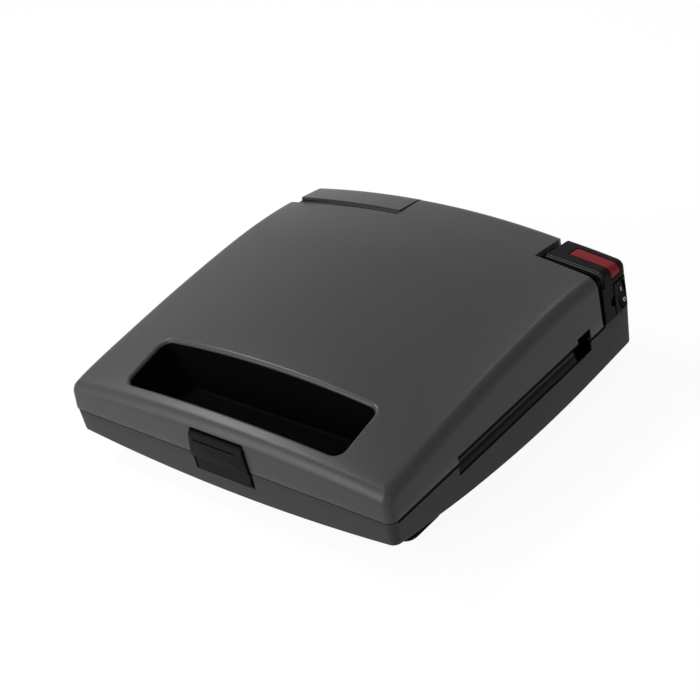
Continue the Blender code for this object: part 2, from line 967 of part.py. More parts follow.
def rounded_corners(corners, radius):
    """A convex outline with an arc at each corner."""
    points = []
    count = len(corners)
    for i in range(count):
        corner = Vector(corners[i])
        back = (Vector(corners[i - 1]) - corner).normalized()
        ahead = (Vector(corners[(i + 1) % count]) - corner).normalized()
        half = back.angle(ahead) / 2
        middle = corner + (back + ahead).normalized() * radius / math.sin(half)
        first = corner + back * radius / math.tan(half) - middle
        last = corner + ahead * radius / math.tan(half) - middle
        for step in range(corner_steps + 1):
            spoke = first.lerp(last, step / corner_steps).normalized() * radius
            points.append(tuple(middle + spoke))
    return points


def pocket_triangles():
    """Corners of the four pockets of a plate, each sandwich cut in two along a diagonal."""
    near = pocket_middle / 2
    far = plate_half_width - pocket_margin
    front = plate_setback - plate_half_depth + pocket_margin
    back = plate_setback + plate_half_depth - pocket_margin
    triangles = {}
    for label, side in (("left", -1), ("right", 1)):
        triangles[f"{label}_front"] = ((side * near, front), (side * far, front), (side * far, back))
        triangles[f"{label}_back"] = ((side * near, front), (side * far, back), (side * near, back))
    return triangles


def pocket_ring(triangle, inset, height):
    """A rounded triangle at a height, drawn in from the pocket's mouth."""
    corners = list(triangle)
    turn = (corners[1][0] - corners[0][0]) * (corners[2][1] - corners[0][1])
    turn -= (corners[1][1] - corners[0][1]) * (corners[2][0] - corners[0][0])
    if turn < 0:
        corners.reverse()
    insets = []
    for i in range(3):
        start, end = corners[i], corners[(i + 1) % 3]
        diagonal = start[0] != end[0] and start[1] != end[1]
        insets.append(inset + (pocket_rib / 2 if diagonal else 0))
    radius = pocket_radius - min(inset, 0) - max(inset, 0) / 2
    return [(x, y, height) for x, y in rounded_corners(shrunk(corners, insets), radius)]


def make_plate(name, up, carrier):
    """A non-stick cooking plate: a flange with four triangular pockets pressed into it."""
    flange = prism(
        name,
        rounded_box(plate_half_width, plate_half_depth, plate_radius, (0, plate_setback)),
        "Z",
        level(up, plate_face),
        level(up, plate_face + plate_flange),
        carrier,
        "plate_coating",
    )
    slope = pocket_slope / pocket_depth
    hollows = []
    for corner, triangle in pocket_triangles().items():
        start = plate_flange / 2
        end = pocket_depth + pocket_wall
        shell = ring_solid(
            f"{name}_{corner}_shell",
            [
                pocket_ring(triangle, slope * start - pocket_wall, level(up, plate_face + start)),
                pocket_ring(triangle, slope * end - pocket_wall, level(up, plate_face + end)),
            ],
            carrier,
        )
        join(flange, shell)
        hollows.append(
            ring_solid(
                f"{name}_{corner}_hollow",
                [
                    pocket_ring(triangle, 0, level(up, plate_face - overrun)),
                    pocket_ring(triangle, 0, level(up, plate_face)),
                    pocket_ring(triangle, pocket_slope, level(up, plate_face + pocket_depth)),
                ],
                carrier,
            )
        )
    cut(flange, *hollows)
    return flange


def bent_path(corners, bends):
    """Points along straight runs, with each inner corner turned by an arc of its own radius."""
    points = [Vector(corners[0])]
    for before, corner, after, radius in zip(corners, corners[1:], corners[2:], bends):
        corner = Vector(corner)
        back = (Vector(before) - corner).normalized()
        ahead = (Vector(after) - corner).normalized()
        half = back.angle(ahead) / 2
        middle = corner + (back + ahead).normalized() * radius / math.sin(half)
        first = corner + back * radius / math.tan(half) - middle
        last = corner + ahead * radius / math.tan(half) - middle
        for step in range(corner_steps + 1):
            points.append(middle + first.lerp(last, step / corner_steps).normalized() * radius)
    points.append(Vector(corners[-1]))
    return points


def tube(name, points, radius, carrier, finish, sides_step=2):
    """A round bar bent along points."""
    curve = bpy.data.curves.new(name, "CURVE")
    curve.dimensions = "3D"
    curve.bevel_depth = radius
    curve.bevel_resolution = sides_step
    curve.use_fill_caps = True
    spline = curve.splines.new("POLY")
    spline.points.add(len(points) - 1)
    for knot, point in zip(spline.points, points):
        knot.co = (*point, 1)
    return add(name, curve, carrier, finish)


def element_distance():
    """Distance of the element's centre line from the parting plane."""
    return plate_face + plate_flange + clearance + element_radius


def make_element(name, up, carrier):
    """A sheathed heating tube that runs round under the plate's flange, with its ends bent away."""
    x = plate_half_width - element_inset
    front = plate_setback - plate_half_depth + element_inset
    back = plate_setback + plate_half_depth - element_inset
    near = level(up, element_distance())
    far = level(up, element_distance() + terminal_length)
    corners = (
        (terminal_half_gap, back, far),
        (terminal_half_gap, back, near),
        (x, back, near),
        (x, front, near),
        (-x, front, near),
        (-x, back, near),
        (-terminal_half_gap, back, near),
        (-terminal_half_gap, back, far),
    )
    bends = (terminal_bend, *[element_bend] * 4, terminal_bend)
    return tube(name, bent_path(corners, bends), element_radius, carrier, "element_sheath")


def reflector_face():
    """Distance of the reflector's rim from the parting plane."""
    return ledge_face() + ledge_thickness + clearance


def make_reflector(name, up, carrier):
    """A thin tray under the plate that turns the element's heat back to it."""
    half_x = plate_half_width + reflector_margin
    half_y = plate_half_depth + reflector_margin
    middle = (0, plate_setback)
    near = reflector_face()
    far = near + reflector_depth
    tray = prism(
        name,
        rounded_box(half_x, half_y, reflector_radius, middle),
        "Z",
        level(up, near),
        level(up, far),
        carrier,
        "reflector_sheet",
    )
    hollow = prism(
        f"{name}_hollow",
        rounded_box(
            half_x - reflector_sheet, half_y - reflector_sheet, reflector_radius - reflector_sheet, middle
        ),
        "Z",
        level(up, near - overrun),
        level(up, far - reflector_sheet),
        carrier,
    )
    cut(tray, hollow)
    back = plate_setback + plate_half_depth - element_inset
    hole_radius = element_radius + clearance
    start, end = level(up, far - reflector_sheet - overrun), level(up, far + overrun)
    for label, side in (("left", -1), ("right", 1)):
        place = (side * terminal_half_gap, back)
        hole = turned(f"{name}_{label}_hole", ((hole_radius, start), (hole_radius, end)), place, carrier)
        cut(tray, hole)
    return tray


def make_frame_screws(prefix, up, carrier):
    """Four screws through a frame into the bosses of its housing."""
    head_face = level(up, frame_level(up) + screw_sink - clearance - screw_head_height)
    seat = level(up, frame_level(up) + screw_sink)
    tip = level(up, frame_level(up) + screw_length)
    for corner, place in boss_places().items():
        make_screw(f"{prefix}_screw_{corner}", place, head_face, seat, tip, carrier)


def make_foot_screw(corner, place, base):
    """The screw that holds a foot to its boss, sunk in the foot's well."""
    seat = foot_well
    head_face = seat - clearance - screw_head_height
    tip = base_skin(*place) + foot_boss_height - screw_radius
    return make_screw(f"foot_screw_{corner}", place, head_face, seat, tip, base)


def rear_dome(name, grow, edge, skin, bend, carrier):
    """The lid's outer form with another skin and bend, from which a cover at the rear is taken."""
    return dome(
        name,
        half_width - lid_draft / 2 + grow,
        half_depth - lid_draft / 2 + grow,
        corner_radius + grow,
        (0, 0),
        edge,
        lambda x, y: skin(x, y) + grow,
        bend + grow,
        lid_draft / 2,
        1,
        carrier,
    )


def rear_box(name, inner, front, side, grow, carrier):
    """The space of a rear corner behind the front and outside the inner end of its cover."""
    low, high = sorted((side * (inner - grow), side * (half_width + overrun)))
    return block(
        name,
        (low, front - grow, parting_height - lid_rise),
        (high, half_depth + overrun, parting_height + 2 * lid_rise),
        carrier,
    )


def rear_bottom():
    """Height of the underside of the hinge cover and the tower, which stand on the base."""
    return parting_height - base_fall + clearance


def shelf_tool(name, form, inner, front, side, end, grow, carrier):
    """What a cover loses in front of its step: all outside a form along its front edge, down to an end."""
    low, high = sorted((side * (inner - overrun), side * (half_width + overrun)))
    shelf = block(
        name,
        (low, front - overrun, parting_height + end - grow),
        (high, front + shelf_depth + grow, parting_height + 2 * lid_rise),
        carrier,
    )
    cut(shelf, form)
    return shelf


def cover_skin(x, y):
    """Height of the hinge cover's skin, proud of the lid at its front and at its outer end."""
    share = (half_depth - y) / cover_length
    return lid_skin(x, y) + cover_proud * share + cover_flare * (x / half_width) ** 2


def cover_solid(name, grow, bottom, carrier):
    """The hinge cover's outer form, grown or drawn in evenly."""
    solid = rear_dome(name, grow, bottom, cover_skin, lid_bend, carrier)
    keep_within(solid, rear_box(f"{name}_box", cover_inner, cover_front, -1, grow, carrier))
    return solid


def make_hinge_cover(base):
    """The hollow cover of the left hinge, with a low step along its front."""
    cover = cover_solid("hinge_cover", 0, rear_bottom(), base)
    finish_piece(cover, "housing_plastic")
    hollow = cover_solid("hinge_cover_hollow", -tower_wall, rear_bottom() - overrun, base)
    for piece, grow in ((hollow, tower_wall), (cover, 0)):
        name = f"{piece.name}_shelf"
        form = lid_dome(f"{name}_form", -cover_step - grow, parting_height - overrun, base)
        cut(piece, shelf_tool(name, form, cover_inner, cover_front, -1, 0, grow, base))
    cut(cover, hollow)
    cut(cover, hinge_bore("hinge_cover_bore", base))
    return cover


def hinge_bore(name, base):
    """A bore for both hinge pins."""
    return prism(
        name,
        circle(pin_radius + clearance, (hinge_y, hinge_z)),
        "X",
        -cover_inner - overrun,
        tower_inner + overrun,
        base,
    )


def tower_skin(x, y):
    """Height of the control tower's skin."""
    return lid_skin(x, y) + tower_proud


def tower_form(name, grow, bottom, carrier):
    """The tower's skin without its inner and front faces."""
    return rear_dome(name, grow, bottom, tower_skin, tower_bend, carrier)


def tower_solid(name, grow, bottom, carrier):
    """The tower's outer form, grown or drawn in evenly."""
    solid = tower_form(name, grow, bottom, carrier)
    keep_within(solid, rear_box(f"{name}_box", tower_inner, tower_front, 1, grow, carrier))
    return solid


def lens_tool(name, grow, base):
    """The space of the lens, which wraps over the tower's outer edge."""
    return block(
        name,
        (tower_inner + lens_left - grow, lens_front - grow, lens_bottom() - grow),
        (half_width + overrun, lens_front + lens_length + grow, parting_height + 2 * lid_rise),
        base,
    )


def lens_bottom():
    """Height of the lower end of the lens on the tower's outer side."""
    return tower_skin(half_width, lens_front) - lens_drop


def panel_outline(grow):
    """Side view of the switch panel, in Y and Z."""
    back = half_depth - panel_back_margin + grow
    low = parting_height - overrun
    high = parting_height + panel_height + grow
    front = panel_front - grow
    return [(front, low), (back, low), (back, high), (front, high)]


def panel_tool(name, grow, base):
    """The space of the switch panel in the tower's outer wall."""
    return prism(name, panel_outline(grow), "X", panel_inner_edge(), half_width + overrun, base)


def panel_inner_edge():
    """X up to which the panel's space reaches into the tower."""
    return half_width - lid_draft - tower_wall - tower_bend / 2


def finger_notch(name, base):
    """The half-round notch ahead of the panel by which it is lifted out."""
    middle = (panel_front - panel_gap, parting_height + rocker_rise)
    ring = circle(panel_notch_radius, middle, round_sides)
    return prism(name, ring, "X", panel_inner_edge(), half_width + overrun, base)


def make_control_tower(base):
    """The tower at the rear right that carries the switch, the lamp and the right hinge pin."""
    tower = tower_solid("control_tower", 0, rear_bottom(), base)
    finish_piece(tower, "tower_plastic")
    hollow = tower_solid("tower_hollow", -tower_wall, rear_bottom() - overrun, base)
    for piece, grow in ((hollow, tower_wall), (tower, 0)):
        name = f"{piece.name}_shelf"
        form = tower_form(f"{name}_form", -tower_step - grow, parting_height - overrun, base)
        cut(piece, shelf_tool(name, form, tower_inner, tower_front, 1, tower_step_end, grow, base))
    cut(tower, hollow)
    cut(tower, lens_tool("tower_lens_window", clearance, base))
    cut(tower, panel_tool("tower_panel_window", panel_gap, base), finger_notch("tower_finger_notch", base))
    cut(tower, hinge_bore("tower_bore", base))
    return tower


def make_lens(base):
    """The red lens, a slice of the tower's skin."""
    lens = tower_solid("indicator_lens", 0, rear_bottom(), base)
    finish_piece(lens, "red_lens")
    cut(lens, tower_solid("lens_hollow", -tower_wall, rear_bottom() - overrun, base))
    keep_within(lens, lens_tool("lens_limit", 0, base))
    return lens


def make_switch_panel(base):
    """The panel with the oval switch opening, a slice of the tower's outer wall."""
    panel = tower_solid("switch_panel", 0, rear_bottom(), base)
    finish_piece(panel, "tower_plastic")
    cut(panel, tower_solid("panel_hollow", -tower_wall, rear_bottom() - overrun, base))
    keep_within(panel, panel_tool("panel_limit", 0, base))
    cut(panel, rocker_opening("panel_rocker_opening", base))
    return panel


def rocker_opening(name, base):
    """The oval hole for the rocker through the panel's wall."""
    gap = 2 * clearance
    stretch = (rocker_half_height + gap) / (rocker_half_width + gap)
    middle = (rocker_middle, parting_height + rocker_rise)
    oval = circle(rocker_half_width + gap, middle, 2 * round_sides, stretch)
    return prism(name, oval, "X", half_width - tower_wall - overrun, half_width + overrun, base)


def rocker_egg(rocker):
    """A round body on the rocker's axis, which keeps the rocker clear of the panel at every tilt."""
    rings = []
    for step in range(1, coil_sides):
        turn = math.pi * step / coil_sides
        place = rocker_middle - rocker_half_width * math.cos(turn)
        radius = rocker_half_height * math.sin(turn)
        rings.append([(x, place, z) for x, z in circle(radius, rocker_axis(), 2 * round_sides)])
    return ring_solid("rocker_limit", rings, rocker)


def rocker_axis():
    """X and Z of the switch rocker's axis."""
    return (half_width - lid_draft - rocker_depth, parting_height + rocker_rise)


def turned_about(point, middle, angle):
    """A point of an XZ outline turned about a middle. A positive angle carries +Z towards +X."""
    u, v = point[0] - middle[0], point[1] - middle[1]
    return (
        middle[0] + u * math.cos(angle) + v * math.sin(angle),
        middle[1] - u * math.sin(angle) + v * math.cos(angle),
    )


def make_rocker(rocker):
    """The switch rocker in its on position, with its upper end pressed in."""
    axis_x, axis_z = rocker_axis()
    face = axis_x + rocker_depth
    reach = rocker_half_height + clearance
    outline = (
        (axis_x - rocker_boss, axis_z - rocker_boss),
        (axis_x - rocker_boss / 2, axis_z - reach),
        (face, axis_z - reach),
        (face - rocker_hollow, axis_z),
        (face, axis_z + reach),
        (axis_x - rocker_boss / 2, axis_z + reach),
        (axis_x - rocker_boss, axis_z + rocker_boss),
    )
    tilted = [turned_about(point, (axis_x, axis_z), -rocker_tilt) for point in outline]
    start, end = rocker_middle - rocker_half_width, rocker_middle + rocker_half_width
    piece = prism("switch_rocker", tilted, "Y", start, end, rocker, "black_plastic")
    keep_within(piece, rocker_egg(rocker))
    return piece


def make_switch_body(base):
    """The switch's case behind the panel, open to the rocker, with a corner off for the tower's bend."""
    axis_x, axis_z = rocker_axis()
    outside = panel_inner_face() - clearance
    half_y = rocker_half_width + 2 * clearance + switch_wall
    half_z = switch_top() - axis_z
    front, back = rocker_middle - half_y, rocker_middle + half_y
    outline = (
        (outside - switch_back, front),
        (outside, front),
        (outside, back - switch_corner),
        (outside - switch_corner, back),
        (outside - switch_back, back),
    )
    case = prism("switch_body", outline, "Z", axis_z - half_z, axis_z + half_z, base, "black_plastic")
    room = rocker_half_height * math.sin(rocker_tilt) + rocker_boss
    hollow = block(
        "switch_body_hollow",
        (axis_x - room - clearance, front + switch_wall, axis_z - half_z + switch_wall),
        (outside + overrun, back - switch_wall, axis_z + half_z - switch_wall),
        base,
    )
    cut(case, hollow)
    return case


def panel_inner_face():
    """X of the panel's inner face at its lower edge, where it leans in most."""
    return half_width - lid_draft - tower_wall


def switch_top():
    """Height of the top of the switch's case."""
    return parting_height + rocker_rise + rocker_half_height + 2 * clearance + switch_wall


def make_lamp(base):
    """The glow lamp that lights the lens, lying on the switch's case."""
    x = half_width - tower_bend - tower_wall - lamp_length
    middle = (lens_front + lens_length / 2, switch_top() + clearance + lamp_radius)
    end = x + lamp_length
    rings = []
    for share, place in ((1 / 2, x), (1, x + lamp_radius), (1, end - lamp_radius), (1 / 2, end)):
        rings.append([(place, y, z) for y, z in circle(share * lamp_radius, middle, screw_sides)])
    return ring_solid("indicator_lamp", rings, base, "lamp_glass")


def make_hinge_pins(base):
    """Two pins in the inner walls of the cover and the tower, on which the lid's lugs turn."""
    for label, face, way in (("left", -cover_inner, 1), ("right", tower_inner, -1)):
        start = face - way * pin_reach / 2
        end = face + way * pin_reach
        tip = end - way * pin_radius / 3
        rings = []
        for radius, place in ((pin_radius, start), (pin_radius, tip), (pin_radius * 2 / 3, end)):
            rings.append([(place, y, z) for y, z in circle(radius, (hinge_y, hinge_z))])
        ring_solid(f"hinge_pin_{label}", rings, base, "steel")


def make_latch(latch):
    """The rocking latch: a thumb block with a groove, a lower tongue with a hook and a boss behind."""
    front = -half_depth - latch_proud
    tongue_front = front + latch_step
    back = tongue_front + latch_thickness
    step_height = parting_height - latch_step_rise
    low = parting_height - latch_bottom
    high = parting_height + latch_top
    half_step = latch_half(-latch_step_rise) - latch_gap
    half_top = latch_half(latch_top) - latch_gap
    half_low = latch_half_low - latch_gap
    thumb = prism(
        "latch", trapezium(half_step, half_top, step_height, high), "Y", front, back, latch, "black_plastic"
    )
    tongue = prism(
        "latch_tongue",
        trapezium(half_low - latch_step, half_low - latch_step / 2, low, step_height + latch_step),
        "Y",
        tongue_front,
        back,
        latch,
    )
    hook_half = latch_half_high - latch_gap - latch_step
    hook = block(
        "latch_hook",
        (-hook_half, back - latch_thickness / 2, low),
        (hook_half, hook_tip(), low + latch_hook_height),
        latch,
    )
    groove_low = parting_height + latch_groove_rise - latch_groove_height / 2
    groove = block(
        "latch_groove",
        (-latch_groove_left, front - overrun, groove_low),
        (latch_groove_right, front + latch_groove_depth, groove_low + latch_groove_height),
        latch,
    )
    axis_y, axis_z = latch_axis()
    boss_half = latch_half_high - latch_gap - latch_step
    boss = prism("latch_boss", circle(latch_boss, (axis_y, axis_z)), "X", -boss_half, boss_half, latch)
    web = block(
        "latch_web",
        (-boss_half + latch_step, back - latch_thickness / 2, axis_z - latch_boss / 2),
        (boss_half - latch_step, axis_y, axis_z + latch_boss / 2),
        latch,
    )
    bore = prism(
        "latch_bore",
        circle(latch_pin_radius + clearance, (axis_y, axis_z)),
        "X",
        -latch_half_low - overrun,
        latch_half_low + overrun,
        latch,
    )
    join(thumb, tongue, hook, boss, web)
    cut(thumb, groove, bore)
    return thumb


def make_latch_pin(lid):
    """The pin through the side walls of the latch recess."""
    reach = latch_half_low + wall
    return prism("latch_pin", circle(latch_pin_radius, latch_axis()), "X", -reach, reach, lid, "steel")


def make_latch_spring(lid):
    """The small coil spring that pushes the thumb block out."""
    start = -half_depth - latch_proud + latch_step + latch_thickness + spring_wire + clearance
    end = -half_depth + latch_recess_depth - spring_wire - clearance
    steps = coil_sides * spring_turns
    points = []
    for step in range(steps + 1):
        turn = 2 * math.pi * step / coil_sides
        y = start + (end - start) * step / steps
        points.append(
            (
                spring_radius * math.cos(turn),
                y,
                parting_height + spring_rise + spring_radius * math.sin(turn),
            )
        )
    return tube("latch_spring", points, spring_wire, lid, "steel", 1)


def make_thermostat(base):
    """The thermostat under the lower reflector."""
    top = parting_height - reflector_face() - reflector_depth - clearance
    rows = (
        (thermostat_radius + thermostat_flange, top),
        (thermostat_radius + thermostat_flange, top - thermostat_rim),
        (thermostat_radius, top - thermostat_rim),
        (thermostat_radius, top - thermostat_height),
    )
    return turned("thermostat", rows, (0, thermostat_back), base, "ceramic")


def make_fuse(base):
    """The thermal fuse under the lower reflector."""
    top = parting_height - reflector_face() - reflector_depth - clearance
    middle = (-fuse_front, top - fuse_radius)
    rings = []
    half = fuse_length / 2
    for share, place in ((1 / 3, -half), (1, -half + fuse_radius), (1, half - fuse_radius), (1 / 3, half)):
        rings.append([(place, y, z) for y, z in circle(share * fuse_radius, middle, screw_sides)])
    return ring_solid("thermal_fuse", rings, base, "steel")


def make_terminal_block(base):
    """The ceramic block where the mains wires are clamped, on the base's floor."""
    left, right = block_right - block_half_length, block_right + block_half_length
    front, back = block_back - block_half_width, block_back + block_half_width
    floor = max(base_skin(x, y) for x in (left, right) for y in (front, back)) + wall + clearance
    terminal = block(
        "terminal_block", (left, front, floor), (right, back, floor + block_height), base, "ceramic"
    )
    for i in range(3):
        x = left + block_half_length * (i + 1 / 2) * 2 / 3
        bore = prism(
            f"terminal_block_bore_{i}",
            circle(block_height / 4, (x, floor + block_height / 2), coil_sides),
            "Y",
            front - overrun,
            back + overrun,
            base,
        )
        cut(terminal, bore)
    return terminal


def make_cord_bush(base):
    """The bush in the base's rear wall through which the mains cord leaves."""
    x, z = bush_axis()
    outside = half_depth - base_inset + clearance
    inside = half_depth - base_inset - base_draft - wall - clearance
    bore_inside = inside - wall
    rings = []
    for radius, place in (
        (bush_radius, bore_inside),
        (bush_radius, outside),
        (bush_flange, outside),
        (bush_flange - bush_proud / 2, outside + bush_proud),
    ):
        rings.append([(u, place, v) for u, v in circle(radius, (x, z))])
    bush = ring_solid("cord_bush", rings, base, "rubber")
    start, end = bore_inside - overrun, outside + overrun
    cut(bush, prism("cord_bush_bore", circle(bush_bore, (x, z)), "Y", start, end, base))
    return bush


base = body("base_body", (0, 0, 0))
lid = body("lid_body", (0, hinge_y, hinge_z))
latch = body("latch_body", (0, *latch_axis()))
rocker_x, rocker_z = rocker_axis()
rocker = body("rocker_body", (rocker_x, rocker_middle, rocker_z))

make_lower_housing(base)
make_upper_housing(lid)
finish_lower_frame(make_frame("lower_frame", -1, base), base)
finish_upper_frame(make_frame("upper_frame", 1, lid), lid)
for layer, side, carrier in (("lower", -1, base), ("upper", 1, lid)):
    make_plate(f"{layer}_plate", side, carrier)
    make_element(f"{layer}_element", side, carrier)
    make_reflector(f"{layer}_reflector", side, carrier)
    make_frame_screws(f"{layer}_frame", side, carrier)
for foot_corner, foot_place in foot_places().items():
    make_foot(foot_corner, foot_place, base)
    make_foot_screw(foot_corner, foot_place, base)
make_hinge_cover(base)
make_control_tower(base)
make_lens(base)
make_lamp(base)
make_switch_panel(base)
make_switch_body(base)
make_rocker(rocker)
make_hinge_pins(base)
make_handle_well(lid)
make_latch_pin(lid)
make_latch_spring(lid)
make_latch(latch)
make_thermostat(base)
make_fuse(base)
make_terminal_block(base)
make_cord_bush(base)
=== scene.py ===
# %% [markdown]
# # A sandwich maker, built as a set of moulded shells
#
# The real object is a hinged box of moulded plastic. Two crowned shells close over a pair of cooking
# plates, a latch holds them together at the front, and a small tower at the rear corner carries the
# switch and the lamp. The measured model is loaded first and stays as it is. Each visible piece is then
# modelled again with finer curves and rounded edges, and takes the place of its measured solid.

import math

import bmesh
import bpy
import numpy as np
from mathutils import Matrix, Vector


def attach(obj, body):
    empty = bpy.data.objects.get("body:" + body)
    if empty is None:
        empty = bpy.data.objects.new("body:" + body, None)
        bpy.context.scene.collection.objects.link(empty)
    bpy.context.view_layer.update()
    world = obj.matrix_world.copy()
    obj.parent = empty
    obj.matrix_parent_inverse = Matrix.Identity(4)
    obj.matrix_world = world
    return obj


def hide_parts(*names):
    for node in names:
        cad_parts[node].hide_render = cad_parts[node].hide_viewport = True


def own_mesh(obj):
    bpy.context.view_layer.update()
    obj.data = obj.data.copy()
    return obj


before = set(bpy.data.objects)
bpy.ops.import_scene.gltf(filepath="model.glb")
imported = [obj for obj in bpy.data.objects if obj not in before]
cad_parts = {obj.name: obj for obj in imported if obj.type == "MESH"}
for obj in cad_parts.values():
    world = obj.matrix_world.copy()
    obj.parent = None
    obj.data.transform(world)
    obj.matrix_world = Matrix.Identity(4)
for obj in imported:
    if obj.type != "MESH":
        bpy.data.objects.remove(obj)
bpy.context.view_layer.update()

# %% [markdown]
# ## The camera
#
# A camera could be placed by eye, but a fitted one puts every edge where the photograph has it. The fit
# gave a direction, a roll, a distance and a focal length. The lens is 89 mm on a sensor 36 mm wide, which
# is why the verticals converge only a little.

# %% Camera
half_width = 0.145
parting = 0.044
azimuth, elevation, roll = (math.radians(angle) for angle in (45.265, 32.377, -11.554))
distance, slide_right, slide_up = (half_width * share for share in (8.465, 0.009, -0.021))
lens_mm = 89.15
sensor_mm = 36

back = Vector(
    (math.sin(azimuth) * math.cos(elevation), -math.cos(azimuth) * math.cos(elevation), math.sin(elevation))
)
level_right = Vector((math.cos(azimuth), math.sin(azimuth), 0))
level_up = back.cross(level_right)
right = math.cos(roll) * level_right + math.sin(roll) * level_up
up = -math.sin(roll) * level_right + math.cos(roll) * level_up

camera = bpy.data.objects.new("camera", bpy.data.cameras.new("camera"))
bpy.context.scene.collection.objects.link(camera)
camera.data.sensor_width = sensor_mm
camera.data.lens = lens_mm
camera.matrix_world = Matrix((right, up, back)).transposed().to_4x4()
camera.location = back * distance - right * slide_right - up * slide_up + Vector((0, 0, parting))
bpy.context.scene.camera = camera
bpy.context.scene.view_settings.view_transform = "Standard"
print("camera at", [round(v, 3) for v in camera.location])

# %% [markdown]
# ## The studio
#
# The object stands on a white floor under soft boxes. A narrow key strip high on the left draws a soft line
# along the rounded edges, a wide box low in front lifts the front faces, a narrow strip behind lays a faint
# sheen over the far side of the lid, and a weak box fills the right side. One large lamp would be simpler,
# but it would light every face alike. The floor and the world look white to the camera through Light Path,
# so that the lamps needn't be turned up for that.

# %% Studio helpers
def nodes_of(material):
    """Opens a material's node tree, empties it and returns its nodes and links."""
    material.use_nodes = True
    tree = material.node_tree
    tree.nodes.clear()
    return tree.nodes, tree.links


def seen_directly(nodes, links):
    """A mask that is 1 for rays from the camera, off gloss or through glass."""
    path = nodes.new("ShaderNodeLightPath")
    total = path.outputs["Is Camera Ray"]
    for ray in ("Is Glossy Ray", "Is Transmission Ray"):
        either = nodes.new("ShaderNodeMath")
        either.operation = "MAXIMUM"
        links.new(total, either.inputs[0])
        links.new(path.outputs[ray], either.inputs[1])
        total = either.outputs[0]
    return total


def soft_box(name, direction, size, power, reach=1.3):
    """An area lamp of a width and a height that faces the object from a direction. reach is in metres."""
    data = bpy.data.lights.new(name, "AREA")
    data.shape = "RECTANGLE"
    data.size, data.size_y = size
    data.energy = power
    lamp = bpy.data.objects.new(name, data)
    bpy.context.scene.collection.objects.link(lamp)
    way = Vector(direction).normalized()
    lamp.location = way * reach + Vector((0, 0, parting))
    lamp.rotation_euler = way.to_track_quat("Z", "Y").to_euler()


# %% Floor
floor_reach, floor_tone, floor_glow_share = 6.0, 0.94, 0.93

floor_mesh = bpy.data.meshes.new("floor")
corners = [(x * floor_reach, y * floor_reach, 0) for x, y in ((-1, -1), (1, -1), (1, 1), (-1, 1))]
floor_mesh.from_pydata(corners, [], [(0, 1, 2, 3)])
floor = bpy.data.objects.new("floor", floor_mesh)
bpy.context.scene.collection.objects.link(floor)
floor_finish = bpy.data.materials.new("white_floor")
nodes, links = nodes_of(floor_finish)
output = nodes.new("ShaderNodeOutputMaterial")
blend = nodes.new("ShaderNodeMixShader")
paper = nodes.new("ShaderNodeBsdfDiffuse")
paper.inputs["Color"].default_value = (floor_tone, floor_tone, floor_tone, 1)
glow = nodes.new("ShaderNodeEmission")
glow.inputs["Color"].default_value = (1, 1, 1, 1)
glow.inputs["Strength"].default_value = 1.0
share = nodes.new("ShaderNodeMath")
share.operation = "MULTIPLY"
share.inputs[1].default_value = floor_glow_share
links.new(seen_directly(nodes, links), share.inputs[0])
links.new(share.outputs[0], blend.inputs["Fac"])
links.new(paper.outputs[0], blend.inputs[1])
links.new(glow.outputs[0], blend.inputs[2])
links.new(blend.outputs[0], output.inputs["Surface"])
floor_mesh.materials.append(floor_finish)
print("floor", 2 * floor_reach, "m wide")

# %% World
room_light = 0.22
world = bpy.data.worlds.new("studio")
bpy.context.scene.world = world
nodes, links = nodes_of(world)
output = nodes.new("ShaderNodeOutputWorld")
blend = nodes.new("ShaderNodeMixShader")
for number, strength in ((1, room_light), (2, 1.0)):
    sky = nodes.new("ShaderNodeBackground")
    sky.inputs["Color"].default_value = (1, 1, 1, 1)
    sky.inputs["Strength"].default_value = strength
    links.new(sky.outputs[0], blend.inputs[number])
links.new(seen_directly(nodes, links), blend.inputs["Fac"])
links.new(blend.outputs[0], output.inputs["Surface"])
print("room light", room_light)

# %% Lamps
lamps = {  # the direction it comes from, its width and height in metres, and its power in watts
    "key_strip": ((-0.6, -0.1, 0.78), (0.5, 0.09), 13.0),
    "front_box": ((-0.4, -0.9, 0.36), (0.8, 0.8), 17.5),
    "rear_strip": ((0.0, 0.6, 0.8), (0.11, 0.6), 3.0),
    "right_box": ((0.85, -0.3, 0.4), (0.6, 0.6), 3.3),
}
for name, (direction, size, power) in lamps.items():
    soft_box(name, direction, size, power)
print("lamps", list(lamps))

# %% [markdown]
# ## Finishes
#
# Moulded plastic is never one flat colour. The mould is etched with a fine grain, the gloss varies a
# little where hands and cloths have rubbed it, and light catches on the grain. These effects are the same
# on several pieces, so each is a node group with named inputs that every material sets for itself.

# %% Node helpers
def new_group(name, inputs, outputs):
    """A shader node group with named sockets. Inputs carry their default values."""
    group = bpy.data.node_groups.new(name, "ShaderNodeTree")
    for label, value in inputs:
        socket = group.interface.new_socket(name=label, in_out="INPUT", socket_type="NodeSocketFloat")
        socket.default_value = value
    for label in outputs:
        group.interface.new_socket(name=label, in_out="OUTPUT", socket_type="NodeSocketFloat")
    entry = group.nodes.new("NodeGroupInput")
    leave = group.nodes.new("NodeGroupOutput")
    return group, group.nodes, group.links, entry, leave


def noise(nodes, links, place, scale, detail):
    """A noise texture at a place, whose scale is a socket."""
    texture = nodes.new("ShaderNodeTexNoise")
    texture.inputs["Detail"].default_value = detail
    links.new(place, texture.inputs["Vector"])
    links.new(scale, texture.inputs["Scale"])
    return texture.outputs["Fac"]


def maths(nodes, links, operation, first, second):
    """A Math node with each operand a number or a socket."""
    node = nodes.new("ShaderNodeMath")
    node.operation = operation
    for socket, value in zip(node.inputs, (first, second)):
        if isinstance(value, (int, float)):
            socket.default_value = value
        else:
            links.new(value, socket)
    return node.outputs[0]


def weighed(nodes, links, first, second, share):
    """Two values mixed, the first by a share."""
    one = maths(nodes, links, "MULTIPLY", first, share)
    other = maths(nodes, links, "MULTIPLY", second, 1 - share)
    return maths(nodes, links, "ADD", one, other)


